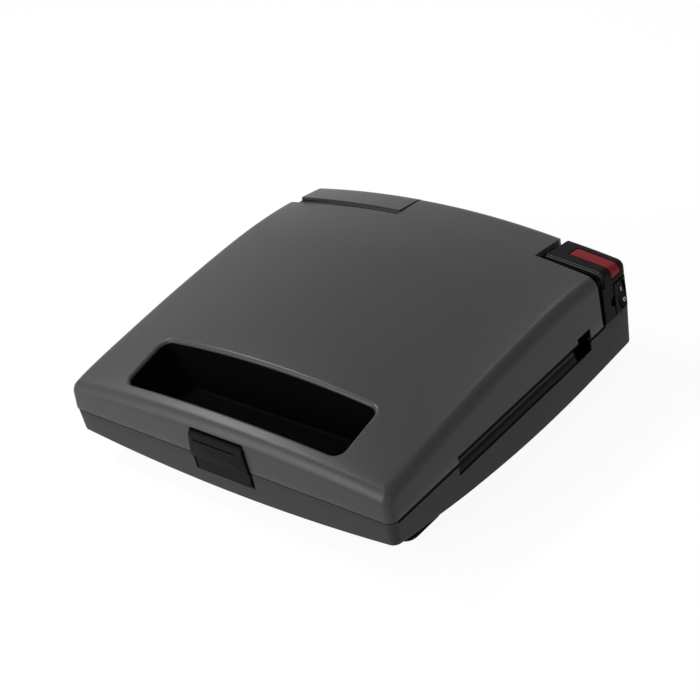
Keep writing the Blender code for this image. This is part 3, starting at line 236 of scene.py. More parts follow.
def spread(nodes, links, value, low, high, new_low, new_high):
    """Maps a value from one range to another."""
    node = nodes.new("ShaderNodeMapRange")
    links.new(value, node.inputs["Value"])
    for label, setting in (("From Min", low), ("From Max", high), ("To Min", new_low), ("To Max", new_high)):
        if isinstance(setting, (int, float)):
            node.inputs[label].default_value = setting
        else:
            links.new(setting, node.inputs[label])
    return node.outputs["Result"]


def axes_of(nodes, links):
    """Sockets for the X, Y and Z of the shaded place, in metres."""
    axes = nodes.new("ShaderNodeSeparateXYZ")
    links.new(nodes.new("ShaderNodeTexCoord").outputs["Object"], axes.inputs[0])
    return axes.outputs["X"], axes.outputs["Y"], axes.outputs["Z"]


def size_of(nodes, links, value):
    """A value without its sign."""
    return maths(nodes, links, "ABSOLUTE", value, 0.0)


# %% Grain and handling
noise_low, noise_high = 0.35, 0.65
coarse_scale, fine_share, patch_share = 0.37, 0.65, 0.7


def build_grain():
    """Etched mould grain: a height, and a tone that follows it."""
    group, nodes, links, entry, leave = new_group(
        "mould_grain", (("Grains per metre", 2200.0), ("Tone contrast", 0.1)), ("Height", "Tone")
    )
    place = nodes.new("ShaderNodeTexCoord").outputs["Object"]
    fine = noise(nodes, links, place, entry.outputs["Grains per metre"], detail=2)
    wider = maths(nodes, links, "MULTIPLY", entry.outputs["Grains per metre"], coarse_scale)
    coarse = noise(nodes, links, place, wider, detail=1)
    height = weighed(nodes, links, fine, coarse, fine_share)
    low = maths(nodes, links, "SUBTRACT", 1.0, entry.outputs["Tone contrast"])
    high = maths(nodes, links, "ADD", 1.0, entry.outputs["Tone contrast"])
    links.new(height, leave.inputs["Height"])
    links.new(spread(nodes, links, height, noise_low, noise_high, low, high), leave.inputs["Tone"])
    return group


def build_handling():
    """Wide soft patches where hands and cloths have changed the gloss, from 0 to 1."""
    group, nodes, links, entry, leave = new_group(
        "handling", (("Patches per metre", 14.0), ("Streaks per metre", 90.0)), ("Patches",)
    )
    place = nodes.new("ShaderNodeTexCoord").outputs["Object"]
    patches = noise(nodes, links, place, entry.outputs["Patches per metre"], detail=3)
    streaks = noise(nodes, links, place, entry.outputs["Streaks per metre"], detail=4)
    both = weighed(nodes, links, patches, streaks, patch_share)
    links.new(spread(nodes, links, both, noise_low, noise_high, 0.0, 1.0), leave.inputs["Patches"])
    return group


grain_group = build_grain()
handling_group = build_handling()
print("groups", [group.name for group in bpy.data.node_groups])

# %% [markdown]
# ## A finish from a few numbers
#
# Every finish is a Principled BSDF. Its base colour is multiplied by the grain's tone, its roughness
# moves between two values with the handling patches, and its normal comes from a Bump node that reads
# the grain's height. A finish is then one line of numbers, which is easy to compare with its neighbours.
# The dark plastics have a low specular level, because the white room around them mirrors in any gloss.

# %% A finish
def finish(name, colour, gloss, grain, metallic=0.0, specular=0.5):
    """A moulded or cast finish. gloss is (roughness low, high), grain is (per metre, metres high, tone)."""
    material = bpy.data.materials.new(name)
    nodes, links = nodes_of(material)
    output = nodes.new("ShaderNodeOutputMaterial")
    shader = nodes.new("ShaderNodeBsdfPrincipled")
    shader.inputs["Metallic"].default_value = metallic
    shader.inputs["Specular IOR Level"].default_value = specular
    links.new(shader.outputs[0], output.inputs["Surface"])

    etched = nodes.new("ShaderNodeGroup")
    etched.node_tree = grain_group
    etched.inputs["Grains per metre"].default_value = grain[0]
    etched.inputs["Tone contrast"].default_value = grain[2]
    rubbed = nodes.new("ShaderNodeGroup")
    rubbed.node_tree = handling_group

    tint = nodes.new("ShaderNodeMix")
    tint.data_type = "RGBA"
    tint.blend_type = "MULTIPLY"
    tint.inputs["Factor"].default_value = 1.0
    tint.inputs["A"].default_value = (*colour, 1)
    links.new(etched.outputs["Tone"], tint.inputs["B"])
    links.new(tint.outputs["Result"], shader.inputs["Base Color"])
    rough = spread(nodes, links, rubbed.outputs["Patches"], 0.0, 1.0, *gloss)
    links.new(rough, shader.inputs["Roughness"])
    bump = nodes.new("ShaderNodeBump")
    bump.inputs["Distance"].default_value = grain[1]
    links.new(etched.outputs["Height"], bump.inputs["Height"])
    links.new(bump.outputs["Normal"], shader.inputs["Normal"])
    return material


# %% All finishes
shell_grain, smooth_grain, fine_grain = (1800, 0.00012, 0.10), (2400, 0.00003, 0.05), (2600, 0.00006, 0.08)
black, switch_black, sheet = (0.004, 0.004, 0.0042), (0.002, 0.002, 0.0022), (0.68, 0.68, 0.69)
finishes = {
    "lid_plastic": finish("lid_plastic", (0.034, 0.034, 0.035), (0.28, 0.33), shell_grain, specular=0.11),
    # same plastic as the lid: rougher for real, darker as painted shade on its downward faces
    "base_plastic": finish("base_plastic", (0.024, 0.024, 0.025), (0.40, 0.46), shell_grain, specular=0.07),
    "tower_plastic": finish("tower_plastic", black, (0.27, 0.31), smooth_grain, specular=0.022),
    "latch_plastic": finish("latch_plastic", (0.003, 0.003, 0.0032), (0.36, 0.42), fine_grain, specular=0.04),
    "well_plastic": finish("well_plastic", (0.002, 0.002, 0.002), (0.40, 0.46), fine_grain, specular=0.006),
    "frame_plastic": finish("frame_plastic", (0.014, 0.014, 0.015), (0.40, 0.50), shell_grain, specular=0.15),
    "switch_plastic": finish("switch_plastic", switch_black, (0.20, 0.26), smooth_grain, specular=0.025),
    "red_lens": finish("red_lens", (0.17, 0.004, 0.011), (0.12, 0.18), smooth_grain, specular=0.05),
    "lamp_glass": finish("lamp_glass", (0.75, 0.45, 0.30), (0.10, 0.15), smooth_grain),
    "plate_coating": finish("plate_coating", (0.02, 0.02, 0.021), (0.28, 0.4), (3200, 0.00003, 0.18)),
    "steel": finish("steel", (0.55, 0.55, 0.56), (0.22, 0.34), smooth_grain, metallic=1.0),
    "element_sheath": finish("element_sheath", (0.17, 0.15, 0.13), (0.40, 0.55), fine_grain, metallic=0.9),
    "reflector_sheet": finish("reflector_sheet", sheet, (0.20, 0.32), smooth_grain, metallic=1.0),
    "ceramic": finish("ceramic", (0.72, 0.69, 0.62), (0.45, 0.60), fine_grain),
    "rubber": finish("rubber", (0.003, 0.003, 0.003), (0.62, 0.78), fine_grain, specular=0.02),
}
print(len(finishes), "finishes")

# %% [markdown]
# ## Painted shade in the grips
#
# The notches at the ends of the scooped grips lie in deep shade, and a band of shade runs along each
# grip. The shade is painted: a mask made from places on the shell darkens the colour behind the side
# faces, between the ends of the grip, along a band and its lower edge, and all over the notch. The same
# mask feeds Metallic, because a metal with a black colour mirrors next to nothing.

# %% Mask of the painted shade in the grips
scoop_start, scoop_end, notch_length = -0.0696, 0.0864, 0.0155
# where the painted shade in the grips lies, and how dark it is
mask_skin, mask_low, mask_high, mask_past = 0.0011, 0.0104, 0.0096, 0.0006
band_top, band_dark, band_end, band_light, band_share = -0.0030, -0.0052, -0.0062, -0.0078, 0.55
edge_line = -0.0092
grip_shade_tone = (0.0015, 0.0015, 0.0016)


def paint_grip_shade():
    """1 where shade is painted in the grips, 0 elsewhere."""
    group, nodes, links, entry, leave = new_group("grip_shade_mask", (("Soft edge", 0.0002),), ("Mask",))
    x, y, z = axes_of(nodes, links)
    soft = entry.outputs["Soft edge"]

    def past(value, limit, way):
        """1 where a value lies past a limit, with a soft edge."""
        low = maths(nodes, links, "SUBTRACT", limit, soft)
        high = maths(nodes, links, "ADD", limit, soft)
        return spread(nodes, links, value, low, high, *((0.0, 1.0) if way > 0 else (1.0, 0.0)))

    height = maths(nodes, links, "SUBTRACT", z, parting)
    inside = past(size_of(nodes, links, x), half_width - mask_skin, -1)
    for value, limit, way in (
        (y, scoop_start - mask_past, 1), (y, scoop_end + mask_past, -1),
        (height, -mask_low, 1), (height, mask_high, -1),
    ):
        inside = maths(nodes, links, "MULTIPLY", inside, past(value, limit, way))
    above = spread(nodes, links, height, band_dark, band_top, 1.0, 0.0)
    below = spread(nodes, links, height, band_light, band_end, band_share, 1.0)
    band = maths(nodes, links, "MULTIPLY", above, below)
    lower = maths(nodes, links, "MAXIMUM", band, past(height, edge_line, -1))
    notch = past(y, scoop_end - notch_length - mask_past, 1)
    strength = maths(nodes, links, "MAXIMUM", lower, notch)
    links.new(maths(nodes, links, "MULTIPLY", inside, strength), leave.inputs["Mask"])
    return group


def tone_by_mask(material, group, tone, black=False):
    """Mixes a tone into a finish's base colour by a group's mask. A black tone loses its gloss as well."""
    nodes, links = material.node_tree.nodes, material.node_tree.links
    shader = next(node for node in nodes if node.type == "BSDF_PRINCIPLED")
    plain = shader.inputs["Base Color"].links[0].from_socket
    mask = nodes.new("ShaderNodeGroup")
    mask.node_tree = group
    blend = nodes.new("ShaderNodeMix")
    blend.data_type = "RGBA"
    links.new(mask.outputs["Mask"], blend.inputs["Factor"])
    links.new(plain, blend.inputs["A"])
    blend.inputs["B"].default_value = (*tone, 1)
    links.new(blend.outputs["Result"], shader.inputs["Base Color"])
    if black:
        links.new(mask.outputs["Mask"], shader.inputs["Metallic"])


grip_shade_group = paint_grip_shade()
shells = ("lid_plastic", "base_plastic")
# painted shade: the grips' notches and a band along each grip turn dark and lose their gloss
for look in shells:
    tone_by_mask(finishes[look], grip_shade_group, grip_shade_tone, black=True)
print("grip mask on", shells)

# %% [markdown]
# ## Painted highlights on the tower's edge
#
# The rounded steps of the tower's front edge catch two thin lines of light. These highlights are painted
# as pale lines by a mask as well, made from the distance behind the tower's front.

# %% Mask of the painted highlights
depth = 0.2792
half_depth = depth / 2
tower_front = half_depth - 0.0331
# where the two painted highlight lines lie, and their pale tone
highlight_lines = ((0.0012, 0.0019), (0.0026, 0.0032))
highlight_end, highlight_fade, highlight_tone = 0.0310, 0.008, (0.062, 0.062, 0.063)


def build_highlight_mask():
    """1 on the two painted highlight lines along the tower's front edge, 0 elsewhere."""
    group, nodes, links, entry, leave = new_group("highlight_mask", (("Soft edge", 0.0001),), ("Mask",))
    y, z = axes_of(nodes, links)[1:]
    soft = entry.outputs["Soft edge"]
    below = maths(nodes, links, "MULTIPLY", soft, -1.0)
    lines = []
    for start, end in highlight_lines:
        away = maths(nodes, links, "SUBTRACT", y, tower_front + (start + end) / 2)
        over = maths(nodes, links, "SUBTRACT", size_of(nodes, links, away), (end - start) / 2)
        lines.append(spread(nodes, links, over, below, soft, 1.0, 0.0))
    height = maths(nodes, links, "SUBTRACT", z, parting + highlight_end)
    above = spread(nodes, links, height, 0.0, highlight_fade, 0.0, 1.0)
    either = maths(nodes, links, "MAXIMUM", *lines)
    links.new(maths(nodes, links, "MULTIPLY", either, above), leave.inputs["Mask"])
    return group


# painted highlights: two pale lines along the tower's stepped front edge
tone_by_mask(finishes["tower_plastic"], build_highlight_mask(), highlight_tone)
print("rubbed edges on tower_plastic")

# %% [markdown]
# ## The crowned skin
#
# The lid isn't a box with rounded edges. Its side line climbs from the front to a point behind the middle
# and falls again, and its top swells above that line. Both are smooth curves through a few measured rows,
# so one short formula gives the height of the lid at any place, and every cut and neighbour can follow it.
# Each row of a skin is a place along the depth, the height at the side edge and the extra height along the
# middle, all as shares.

# %% Skins of the lid and the base
lid_rise, ground_gap = 0.0528, 0.003
base_drop = parting - ground_gap
lid_rows = np.array((
    (-0.5, 0.37, 0.13), (-0.437, 0.445, 0.155), (-0.29, 0.545, 0.262), (-0.072, 0.672, 0.272),
    (0.18, 0.763, 0.262), (0.352, 0.74, 0.261), (0.5, 0.624, 0.307),
))
base_rows = np.array((
    (-0.5, 0.44, 0.2), (-0.36, 0.585, 0.16), (-0.21, 0.725, 0.12),
    (0.0, 0.84, 0.09), (0.21, 0.865, 0.08), (0.5, 0.785, 0.08),
))


def smooth_rows(rows, place):
    """Side and crown shares at places along the depth, on smooth curves through the rows."""
    keys = rows[:, 0]
    row = np.clip(np.searchsorted(keys, place) - 1, 0, len(keys) - 2)
    before, after = np.maximum(row - 1, 0), np.minimum(row + 2, len(keys) - 1)
    span = keys[row + 1] - keys[row]
    t = np.clip((place - keys[row]) / span, 0, 1)
    curves = []
    for column in (1, 2):
        value = rows[:, column]
        slope_in = (value[row + 1] - value[before]) / (keys[row + 1] - keys[before]) * span
        slope_out = (value[after] - value[row]) / (keys[after] - keys[row]) * span
        curves.append(
            value[row] * (2 * t**3 - 3 * t**2 + 1)
            + slope_in * (t**3 - 2 * t**2 + t)
            + value[row + 1] * (3 * t**2 - 2 * t**3)
            + slope_out * (t**3 - t**2)
        )
    return curves


def lid_skin(x, y):
    """Height of the lid's skin above the floor."""
    side, crown = smooth_rows(lid_rows, y / depth)
    return parting + lid_rise * (side + crown * (1 - (x / half_width) ** 2))


def base_skin(x, y):
    """Height of the base's underside above the floor."""
    side, crown = smooth_rows(base_rows, y / depth)
    return parting - base_drop * (side + crown * (1 - (x / half_width) ** 2))


def height_at(skin, x, y):
    """A skin's height at one place."""
    return float(skin(x, np.array([y]))[0])


centre_line = np.linspace(-half_depth, half_depth, 5)
print("lid heights along the middle, mm", (lid_skin(0 * centre_line, centre_line) * 1000).round(1))

# %% [markdown]
# ## Lofting and cutting
#
# Nearly every piece here is a stack of rounded outlines that are joined into a skin, which is called a
# loft. The outlines are spaced closely, so that Boolean cuts later touch only small faces and leave the
# shading of the skin alone. A cut is made with a Boolean modifier, and its result is written back into
# the mesh, so that no helper object is left in the scene.

# %% Outlines
least_bend = 0.0003


def outline(half_x, half_y, radius, centre=(0, 0), corner=8, sides=(24, 24)):
    """Points round a rectangle with rounded corners, its sides split into steps along X and Y."""
    bend = min(max(radius, least_bend), half_x - least_bend, half_y - least_bend)
    arcs = []
    for quarter, (side_x, side_y) in enumerate(((1, 1), (-1, 1), (-1, -1), (1, -1))):
        turns = math.pi / 2 * (quarter + np.linspace(0, 1, corner + 1))
        middle = (centre[0] + side_x * (half_x - bend), centre[1] + side_y * (half_y - bend))
        arcs.append(np.stack([middle[0] + bend * np.cos(turns), middle[1] + bend * np.sin(turns)], 1))
    points = []
    for quarter, arc in enumerate(arcs):
        following = arcs[(quarter + 1) % 4][0]
        steps = sides[quarter % 2]
        points.append(arc)
        points.append(arc[-1] + (following - arc[-1]) * np.linspace(0, 1, steps + 1)[1:-1, None])
    return np.concatenate(points)


def quarter_turn(steps):
    """Angles from 0 to a right angle."""
    return np.linspace(0, math.pi / 2, steps)


def oval(radius_u, radius_v, centre=(0, 0), sides=48):
    """Points round an oval."""
    turns = 2 * math.pi * (np.arange(sides) + 0.5) / sides
    return np.stack([centre[0] + radius_u * np.cos(turns), centre[1] + radius_v * np.sin(turns)], 1)


def raised(points, height):
    """Flat points given a height, which is a number or one for each point."""
    return np.column_stack([points, np.broadcast_to(height, len(points))])


def laid(axis, points, place):
    """Flat points set at a place along an axis."""
    u, v = points[:, 0], points[:, 1]
    fixed = np.full(len(points), float(place))
    return np.stack({"X": (fixed, u, v), "Y": (u, fixed, v), "Z": (u, v, fixed)}[axis], 1)


def filleted(corners, radius, steps=6):
    """A convex outline with an arc at each corner. radius is one number or one for each corner."""
    points = []
    count = len(corners)
    sizes = [radius] * count if isinstance(radius, (int, float)) else radius
    for i in range(count):
        corner = np.array(corners[i], float)
        back, ahead = np.array(corners[i - 1]) - corner, np.array(corners[(i + 1) % count]) - corner
        back, ahead = back / np.linalg.norm(back), ahead / np.linalg.norm(ahead)
        half = math.acos(float(np.clip(back @ ahead, -1, 1))) / 2
        middle = corner + (back + ahead) / np.linalg.norm(back + ahead) * sizes[i] / math.sin(half)
        first = corner + back * sizes[i] / math.tan(half) - middle
        last = corner + ahead * sizes[i] / math.tan(half) - middle
        for share in np.linspace(0, 1, steps + 1):
            spoke = first + (last - first) * share
            points.append(middle + spoke / np.linalg.norm(spoke) * sizes[i])
    return np.array(points)


# %% Lofts
def dressed(name, mesh, look):
    """Links a mesh as an object and gives it a finish."""
    piece = bpy.data.objects.new(name, mesh)
    bpy.context.scene.collection.objects.link(piece)
    if look:
        mesh.materials.append(finishes[look])
    return piece


def shade(mesh, angle=32):
    """Smooth shading, with edges sharper than an angle left crisp."""
    mesh.shade_smooth()
    mesh.set_sharp_from_angle(angle=math.radians(angle))


def loft(name, rings, look=None, tip=None, ring_joint=False):
    """Joins rings of equally many points into a closed skin."""
    count = len(rings[0])
    points = np.concatenate(rings)
    faces = []
    pairs = [(r, r + 1) for r in range(len(rings) - 1)]
    if ring_joint:
        pairs.append((len(rings) - 1, 0))
    for lower, upper in pairs:
        a, b = lower * count, upper * count
        for i in range(count):
            j = (i + 1) % count
            faces.append((a + i, a + j, b + j, b + i))
    if not ring_joint:
        faces.append(tuple(range(count))[::-1])
        last = (len(rings) - 1) * count
        if tip is None:
            faces.append(tuple(range(last, last + count)))
        else:
            points = np.concatenate([points, [tip]])
            faces += [(last + i, last + (i + 1) % count, len(points) - 1) for i in range(count)]
    mesh = bpy.data.meshes.new(name)
    mesh.from_pydata([tuple(map(float, p)) for p in points], [], faces)
    bm = bmesh.new()
    bm.from_mesh(mesh)
    bmesh.ops.recalc_face_normals(bm, faces=bm.faces)
    bm.to_mesh(mesh)
    bm.free()
    shade(mesh)
    return dressed(name, mesh, look)


def prism(name, points, axis, start, end):
    """A flat outline carried along an axis."""
    return loft(name, [laid(axis, points, start), laid(axis, points, end)])


def block(name, low, high):
    """A box between two corners."""
    corners = np.array([(low[0], low[1]), (high[0], low[1]), (high[0], high[1]), (low[0], high[1])])
    return prism(name, corners, "Z", low[2], high[2])


def lathe(name, profile, axis, centre, look=None, sides=40, ring_joint=False):
    """A round piece from rows of (radius, place along the axis)."""
    rings = [laid(axis, oval(radius, radius, centre, sides), place) for radius, place in profile]
    return loft(name, rings, look, ring_joint=ring_joint)


# %% Cuts
def bake(piece):
    """Writes the modifiers of a piece into its mesh."""
    view = bpy.context.evaluated_depsgraph_get()
    mesh = bpy.data.meshes.new_from_object(piece.evaluated_get(view))
    looks = [slot.material for slot in piece.material_slots]
    piece.modifiers.clear()
    piece.data = mesh
    mesh.materials.clear()
    for look in looks:
        mesh.materials.append(look)
    shade(mesh)
    return piece


def carve(piece, *tools, way="DIFFERENCE"):
    """Cuts, joins or intersects a piece with tools, which are then removed."""
    for tool in tools:
        modifier = piece.modifiers.new(tool.name, "BOOLEAN")
        modifier.operation = way
        modifier.solver = "EXACT"
        modifier.object = tool
    bake(piece)
    for tool in tools:
        bpy.data.objects.remove(tool, do_unlink=True)
    return piece


def soften(piece, width, segments=3, angle=35):
    """Rounds the sharp edges of a piece that has no Boolean cuts yet."""
    bevel = piece.modifiers.new("soften", "BEVEL")
    bevel.width = width
    bevel.segments = segments
    bevel.limit_method = "ANGLE"
    bevel.angle_limit = math.radians(angle)
    return bake(piece)


def place(piece, body, nodes, slot):
    """Lets a piece ride on a body in place of one measured node or several."""
    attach(piece, body)
    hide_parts(*([nodes] if isinstance(nodes, str) else nodes))
    print(piece.name, len(piece.data.polygons), "faces", [round(v * 1000, 1) for v in piece.dimensions], "mm")


# %% [markdown]
# ## A dome
#
# A moulded shell starts at a slightly rounded parting edge, climbs a wall that leans in by a little draft
# so that it leaves its mould, turns over a fillet and closes over the crowned skin. The same function
# makes the lid, the base, the tower and the hinge cover.

# %% Dome
shell_detail, base_detail, tool_detail = (10, 36, 10, 26), (10, 36, 6, 26), (8, 24, 8, 14)


def dome(name, half, radius, edge, skin, bend, draft, way=1, lip=0.0, detail=tool_detail, look=None):
    """A closed dome. detail is (corner steps, side steps, fillet steps, inner rings)."""
    corner, side, turns, inner = detail

    def form(inset):
        return outline(half[0] - inset, half[1] - inset, radius - inset, (0, 0), corner, (side, side))

    rings = [raised(form(0), edge)]
    if lip:
        rings = []
        for turn in quarter_turn(4):
            rings.append(raised(form(lip * (1 - math.sin(turn))), edge + way * lip * (1 - math.cos(turn))))
    base_ring = form(draft)
    top = skin(base_ring[:, 0], base_ring[:, 1]) - way * bend
    start = edge + way * lip
    for share in (1 / 3, 2 / 3):
        rings.append(raised(form(draft * share), start + (top - start) * share))
    for turn in quarter_turn(turns + 1):
        flat = form(draft + bend * (1 - math.cos(turn)))
        rings.append(raised(flat, skin(flat[:, 0], flat[:, 1]) - way * bend * (1 - math.sin(turn))))
    last = flat
    for share in np.linspace(1, 0, inner + 2)[1:-1]:
        flat = last * share
        rings.append(raised(flat, skin(flat[:, 0], flat[:, 1])))
    peak = (0, 0, float(skin(np.zeros(1), np.zeros(1))[0]))
    return loft(name, rings, look, peak)


# %% [markdown]
# ## Shared cuts
#
# The scooped grips along both sides, the deep notch at their rear end, the latch recess and the two rear
# corners cut the shell and, a wall thickness further out, also its hollow. Each is a function with a
# growth value, so the two cuts always agree.

# %% Sizes that several pieces share
wall, clearance, overrun, corner_radius = 0.0025, 0.0003, 0.005, 0.0065
far, high = half_width + overrun, parting + 2 * lid_rise
lid_bend, lid_draft, lid_lift, lid_lip = 0.008, 0.0008, 0.0004, 0.0005
base_inset, base_bend, base_draft, base_fall, base_lip = 0.0006, 0.0015, 0.001, 0.0008, 0.0004
scoop_half_height, scoop_reach, scoop_fall = 0.0078, 0.005, 0.0023
notch_depth, notch_rise, notch_fall = 0.0075, 0.0088, 0.0094
opening_half, opening_radius, opening_y = (0.0965, 0.0219), 0.0075, -0.1032
hinge_y, hinge_z = half_depth - 0.0146, parting + 0.033
swing_gap, swing_steps = 0.0006, 12
cover_inner, cover_length, cover_gap = 0.031, 0.0326, 0.001
cover_front = half_depth - cover_length
cover_proud, cover_flare, cover_step = 0.0011, 0.0022, 0.0002
tower_inner, tower_gap, tower_bend, tower_wall = 0.099, 0.0048, 0.0046, 0.0022
tower_proud, tower_flare = 0.0002, 0.040
latch_half_low, latch_half_high = 0.027, 0.0243
recess_top, recess_depth, recess_round = 0.0213, 0.0088, 0.0015
catch_depth, catch_fall = 0.0068, 0.0139
latch_y, latch_z = -half_depth + 0.0052, parting + 0.008
latch_hole, hinge_hole, pin_radius = 0.0018, 0.0036, 0.003


def cover_skin(x, y):
    """Height of the hinge cover's skin, proud of the lid at its front and at its outer end."""
    flare = cover_flare * (x / half_width) ** 2
    return lid_skin(x, y) + cover_proud * (half_depth - y) / cover_length + flare


def tower_skin(x, y):
    """Height of the control tower's skin, a little prouder towards its outer side."""
    return lid_skin(x, y) + tower_proud + tower_flare * (x - (tower_inner + half_width) / 2)


# %% Shared cuts
def grip_cuts(grow):
    """Scoops and notches on both sides."""
    tools = []
    for side in (-1, 1):
        middle = (side * half_width, parting - scoop_fall)
        ring = oval(scoop_reach + grow, scoop_half_height + grow, middle, sides=64)
        tools.append(prism("scoop", ring, "Y", scoop_start - grow, scoop_end - notch_length / 2))
        reach = sorted((side * far, side * (half_width - notch_depth - grow)))
        low = (reach[0], scoop_end - notch_length - grow, parting - notch_fall - grow)
        top = (reach[1], scoop_end + grow, parting + notch_rise + grow)
        tools.append(block("notch", low, top))
    return tools


def corner_cuts(grow):
    """The rear corners that the hinge cover and the tower fill, and the cover's path past the lid."""
    reach, behind = far + grow, half_depth + overrun + grow
    left_edge, front = -cover_inner + cover_gap + grow, cover_front - cover_gap - grow
    left = block("cover_corner", (-reach, front, -overrun), (left_edge, behind, high))
    rings = []
    for x in np.linspace(left_edge - least_bend, -reach - overrun, swing_steps):
        rise = max(height_at(cover_skin, x, cover_front) - hinge_z, 0)
        swing = math.hypot(hinge_y - cover_front, rise) + swing_gap + grow
        rings.append(laid("X", oval(swing, swing, (hinge_y, hinge_z), sides=96), x))
    inner, front = tower_inner - tower_gap - grow, tower_front - tower_gap - grow
    right = block("tower_corner", (inner, front, -overrun), (reach, behind, high))
    return [left, loft("cover_swing", rings), right]


def latch_half(rise):
    """Half the width of the latch's recess at a height over the parting plane."""
    return latch_half_low + (latch_half_high - latch_half_low) * rise / recess_top


def latch_cut(grow):
    """The pocket for the latch in the lid's front."""
    wide, narrow = latch_half(-overrun) + grow, latch_half(recess_top + grow) + grow
    low, top = parting - overrun, parting + (recess_top + grow)
    corners = [(-wide, low), (wide, low), (narrow, top), (-narrow, top)]
    round_top = recess_round + grow
    points = filleted(corners, [least_bend, least_bend, round_top, round_top])
    return prism("latch_pocket", points, "Y", -half_depth - overrun, -half_depth + recess_depth + grow)


def catch_cut(grow):
    """The pocket for the lower end of the latch in the base's front."""
    half, low = latch_half_low + grow, parting - catch_fall - grow
    end = -half_depth + base_inset + catch_depth + grow
    return block("catch_pocket", (-half, -half_depth - overrun, low), (half, end, parting + overrun))


def opening(grow):
    """Plan of the finger opening."""
    half_x, half_y = opening_half[0] + grow, opening_half[1] + grow
    return outline(half_x, half_y, opening_radius + grow, (0, opening_y), corner=10, sides=(30, 8))


# %% [markdown]
# ## The lid
#
# The lid's shell is the piece that gives the whole object its look. Its finger opening has a rounded lip,
# which catches a bright line of light along its rear edge. The lip can't be a bevel, since a Boolean cut
# leaves edges too short for one. Instead the cutter itself flares out like a trumpet where it meets the
# skin, and the cut leaves the rounded lip behind.

# %% Cutters and bosses of the lid
boss_radius, boss_flare, boss_depth, screw_radius = 0.0042, 1.1, 0.010, 0.00175
boss_places = [(x, y) for x in (-0.1295, 0.1295) for y in (-0.1, 0.0905)]
lid_seat, base_seat = parting + 0.004, parting - 0.0041
opening_lip, rear_radius = 0.0026, 0.009


def trumpet(name, plan, skin, bottom, lip, steps=7, reach=0.93):
    """A cutter that rises straight and flares out over a rounded lip at the skin."""
    rings = [raised(plan(0), bottom)]
    for turn in np.linspace(0, math.pi / 2 * reach, steps):
        flat = plan(lip * (1 - math.cos(turn)))
        rings.append(raised(flat, skin(flat[:, 0], flat[:, 1]) - lip * (1 - math.sin(turn))))
    flat = plan(lip * (1 - math.cos(turn)) + least_bend)
    rings.append(raised(flat, skin(flat[:, 0], flat[:, 1]) + overrun))
    return loft(name, rings)


def add_bosses(shell, places, skin, seat, way):
    """Screw bosses from a shell's inside to a seat, each with its hole."""
    bosses, holes = [], []
    for x, y in places:
        root = height_at(skin, x, y) - way * wall / 2
        rows = ((boss_radius, seat), (boss_radius * boss_flare, root))
        bosses.append(lathe("boss", rows, "Z", (x, y), sides=32))
        hole = screw_radius + clearance
        rows = ((hole, seat - way * overrun), (hole, seat + way * boss_depth))
        holes.append(lathe("boss_hole", rows, "Z", (x, y), sides=24))
    carve(shell, *bosses, way="UNION")
    carve(shell, *holes)


def rear_round(grow):
    """What rounds off the upright rear edge of the lid beside the tower."""
    low = parting - overrun
    x, y = tower_inner - tower_gap - rear_radius, half_depth - rear_radius
    corner = block("rear_round", (x, y, low), (tower_inner - tower_gap + overrun, far, high))
    ring = oval(rear_radius - grow, rear_radius - grow, (x, y), sides=64)
    return carve(corner, prism("rear_post", ring, "Z", low - overrun, high + overrun))


print(len(boss_places), "screw bosses at", boss_places)

# %% Lid shell
lid = dome(
    "lid_shell", (half_width, half_depth), corner_radius, parting + lid_lift, lid_skin, lid_bend, lid_draft,
    lip=lid_lip, detail=shell_detail, look="lid_plastic",
)
hollow = dome(
    "lid_hollow", (half_width - wall, half_depth - wall), corner_radius - wall, parting - overrun,
    lambda x, y: lid_skin(x, y) - wall, lid_bend - wall, lid_draft,
)
carve(hollow, *corner_cuts(wall), *grip_cuts(wall), latch_cut(wall), rear_round(wall))
carve(lid, *corner_cuts(0))
carve(lid, hollow)
carve(lid, *grip_cuts(0), latch_cut(0))
carve(lid, trumpet("opening_cut", opening, lid_skin, parting + wall, opening_lip))
carve(lid, rear_round(0))
print("lid shell", len(lid.data.polygons), "faces before its holes")

# %% Holes of the lid
add_bosses(lid, boss_places, lid_skin, lid_seat, 1)
hinge_ring = oval(hinge_hole, hinge_hole, (hinge_y, hinge_z), sides=32)
pin_ring = oval(latch_hole, latch_hole, (latch_y, latch_z), sides=24)
across = latch_half_low + wall + overrun
carve(lid, prism("hinge_holes", hinge_ring, "X", -cover_inner - overrun, tower_inner))
carve(lid, prism("pin_holes", pin_ring, "X", -across, across))
place(lid, "lid", "upper_housing", "lid_plastic")

# %% [markdown]
# ## The base
#
# The base is the same kind of dome, turned over. A shadow groove runs along its side edges, ahead of the
# grips, inside them and behind them. The catch pocket has a lip for the latch's hook, and the rear wall
# follows the round path that the lid's rear corner takes as it swings open.

# %% Base shell
base = dome(
    "base_shell", (half_width - base_inset, half_depth - base_inset), corner_radius, parting - base_fall,
    base_skin, base_bend, base_draft, -1, lip=base_lip, detail=base_detail, look="base_plastic",
)
hollow = dome(
    "base_hollow", (half_width - base_inset - wall, half_depth - base_inset - wall), corner_radius - wall,
    parting + overrun, lambda x, y: base_skin(x, y) + wall, least_bend, base_draft, -1,
)
carve(hollow, *grip_cuts(wall), catch_cut(wall))
carve(base, hollow)
print("base shell", len(base.data.polygons), "faces before its cuts")

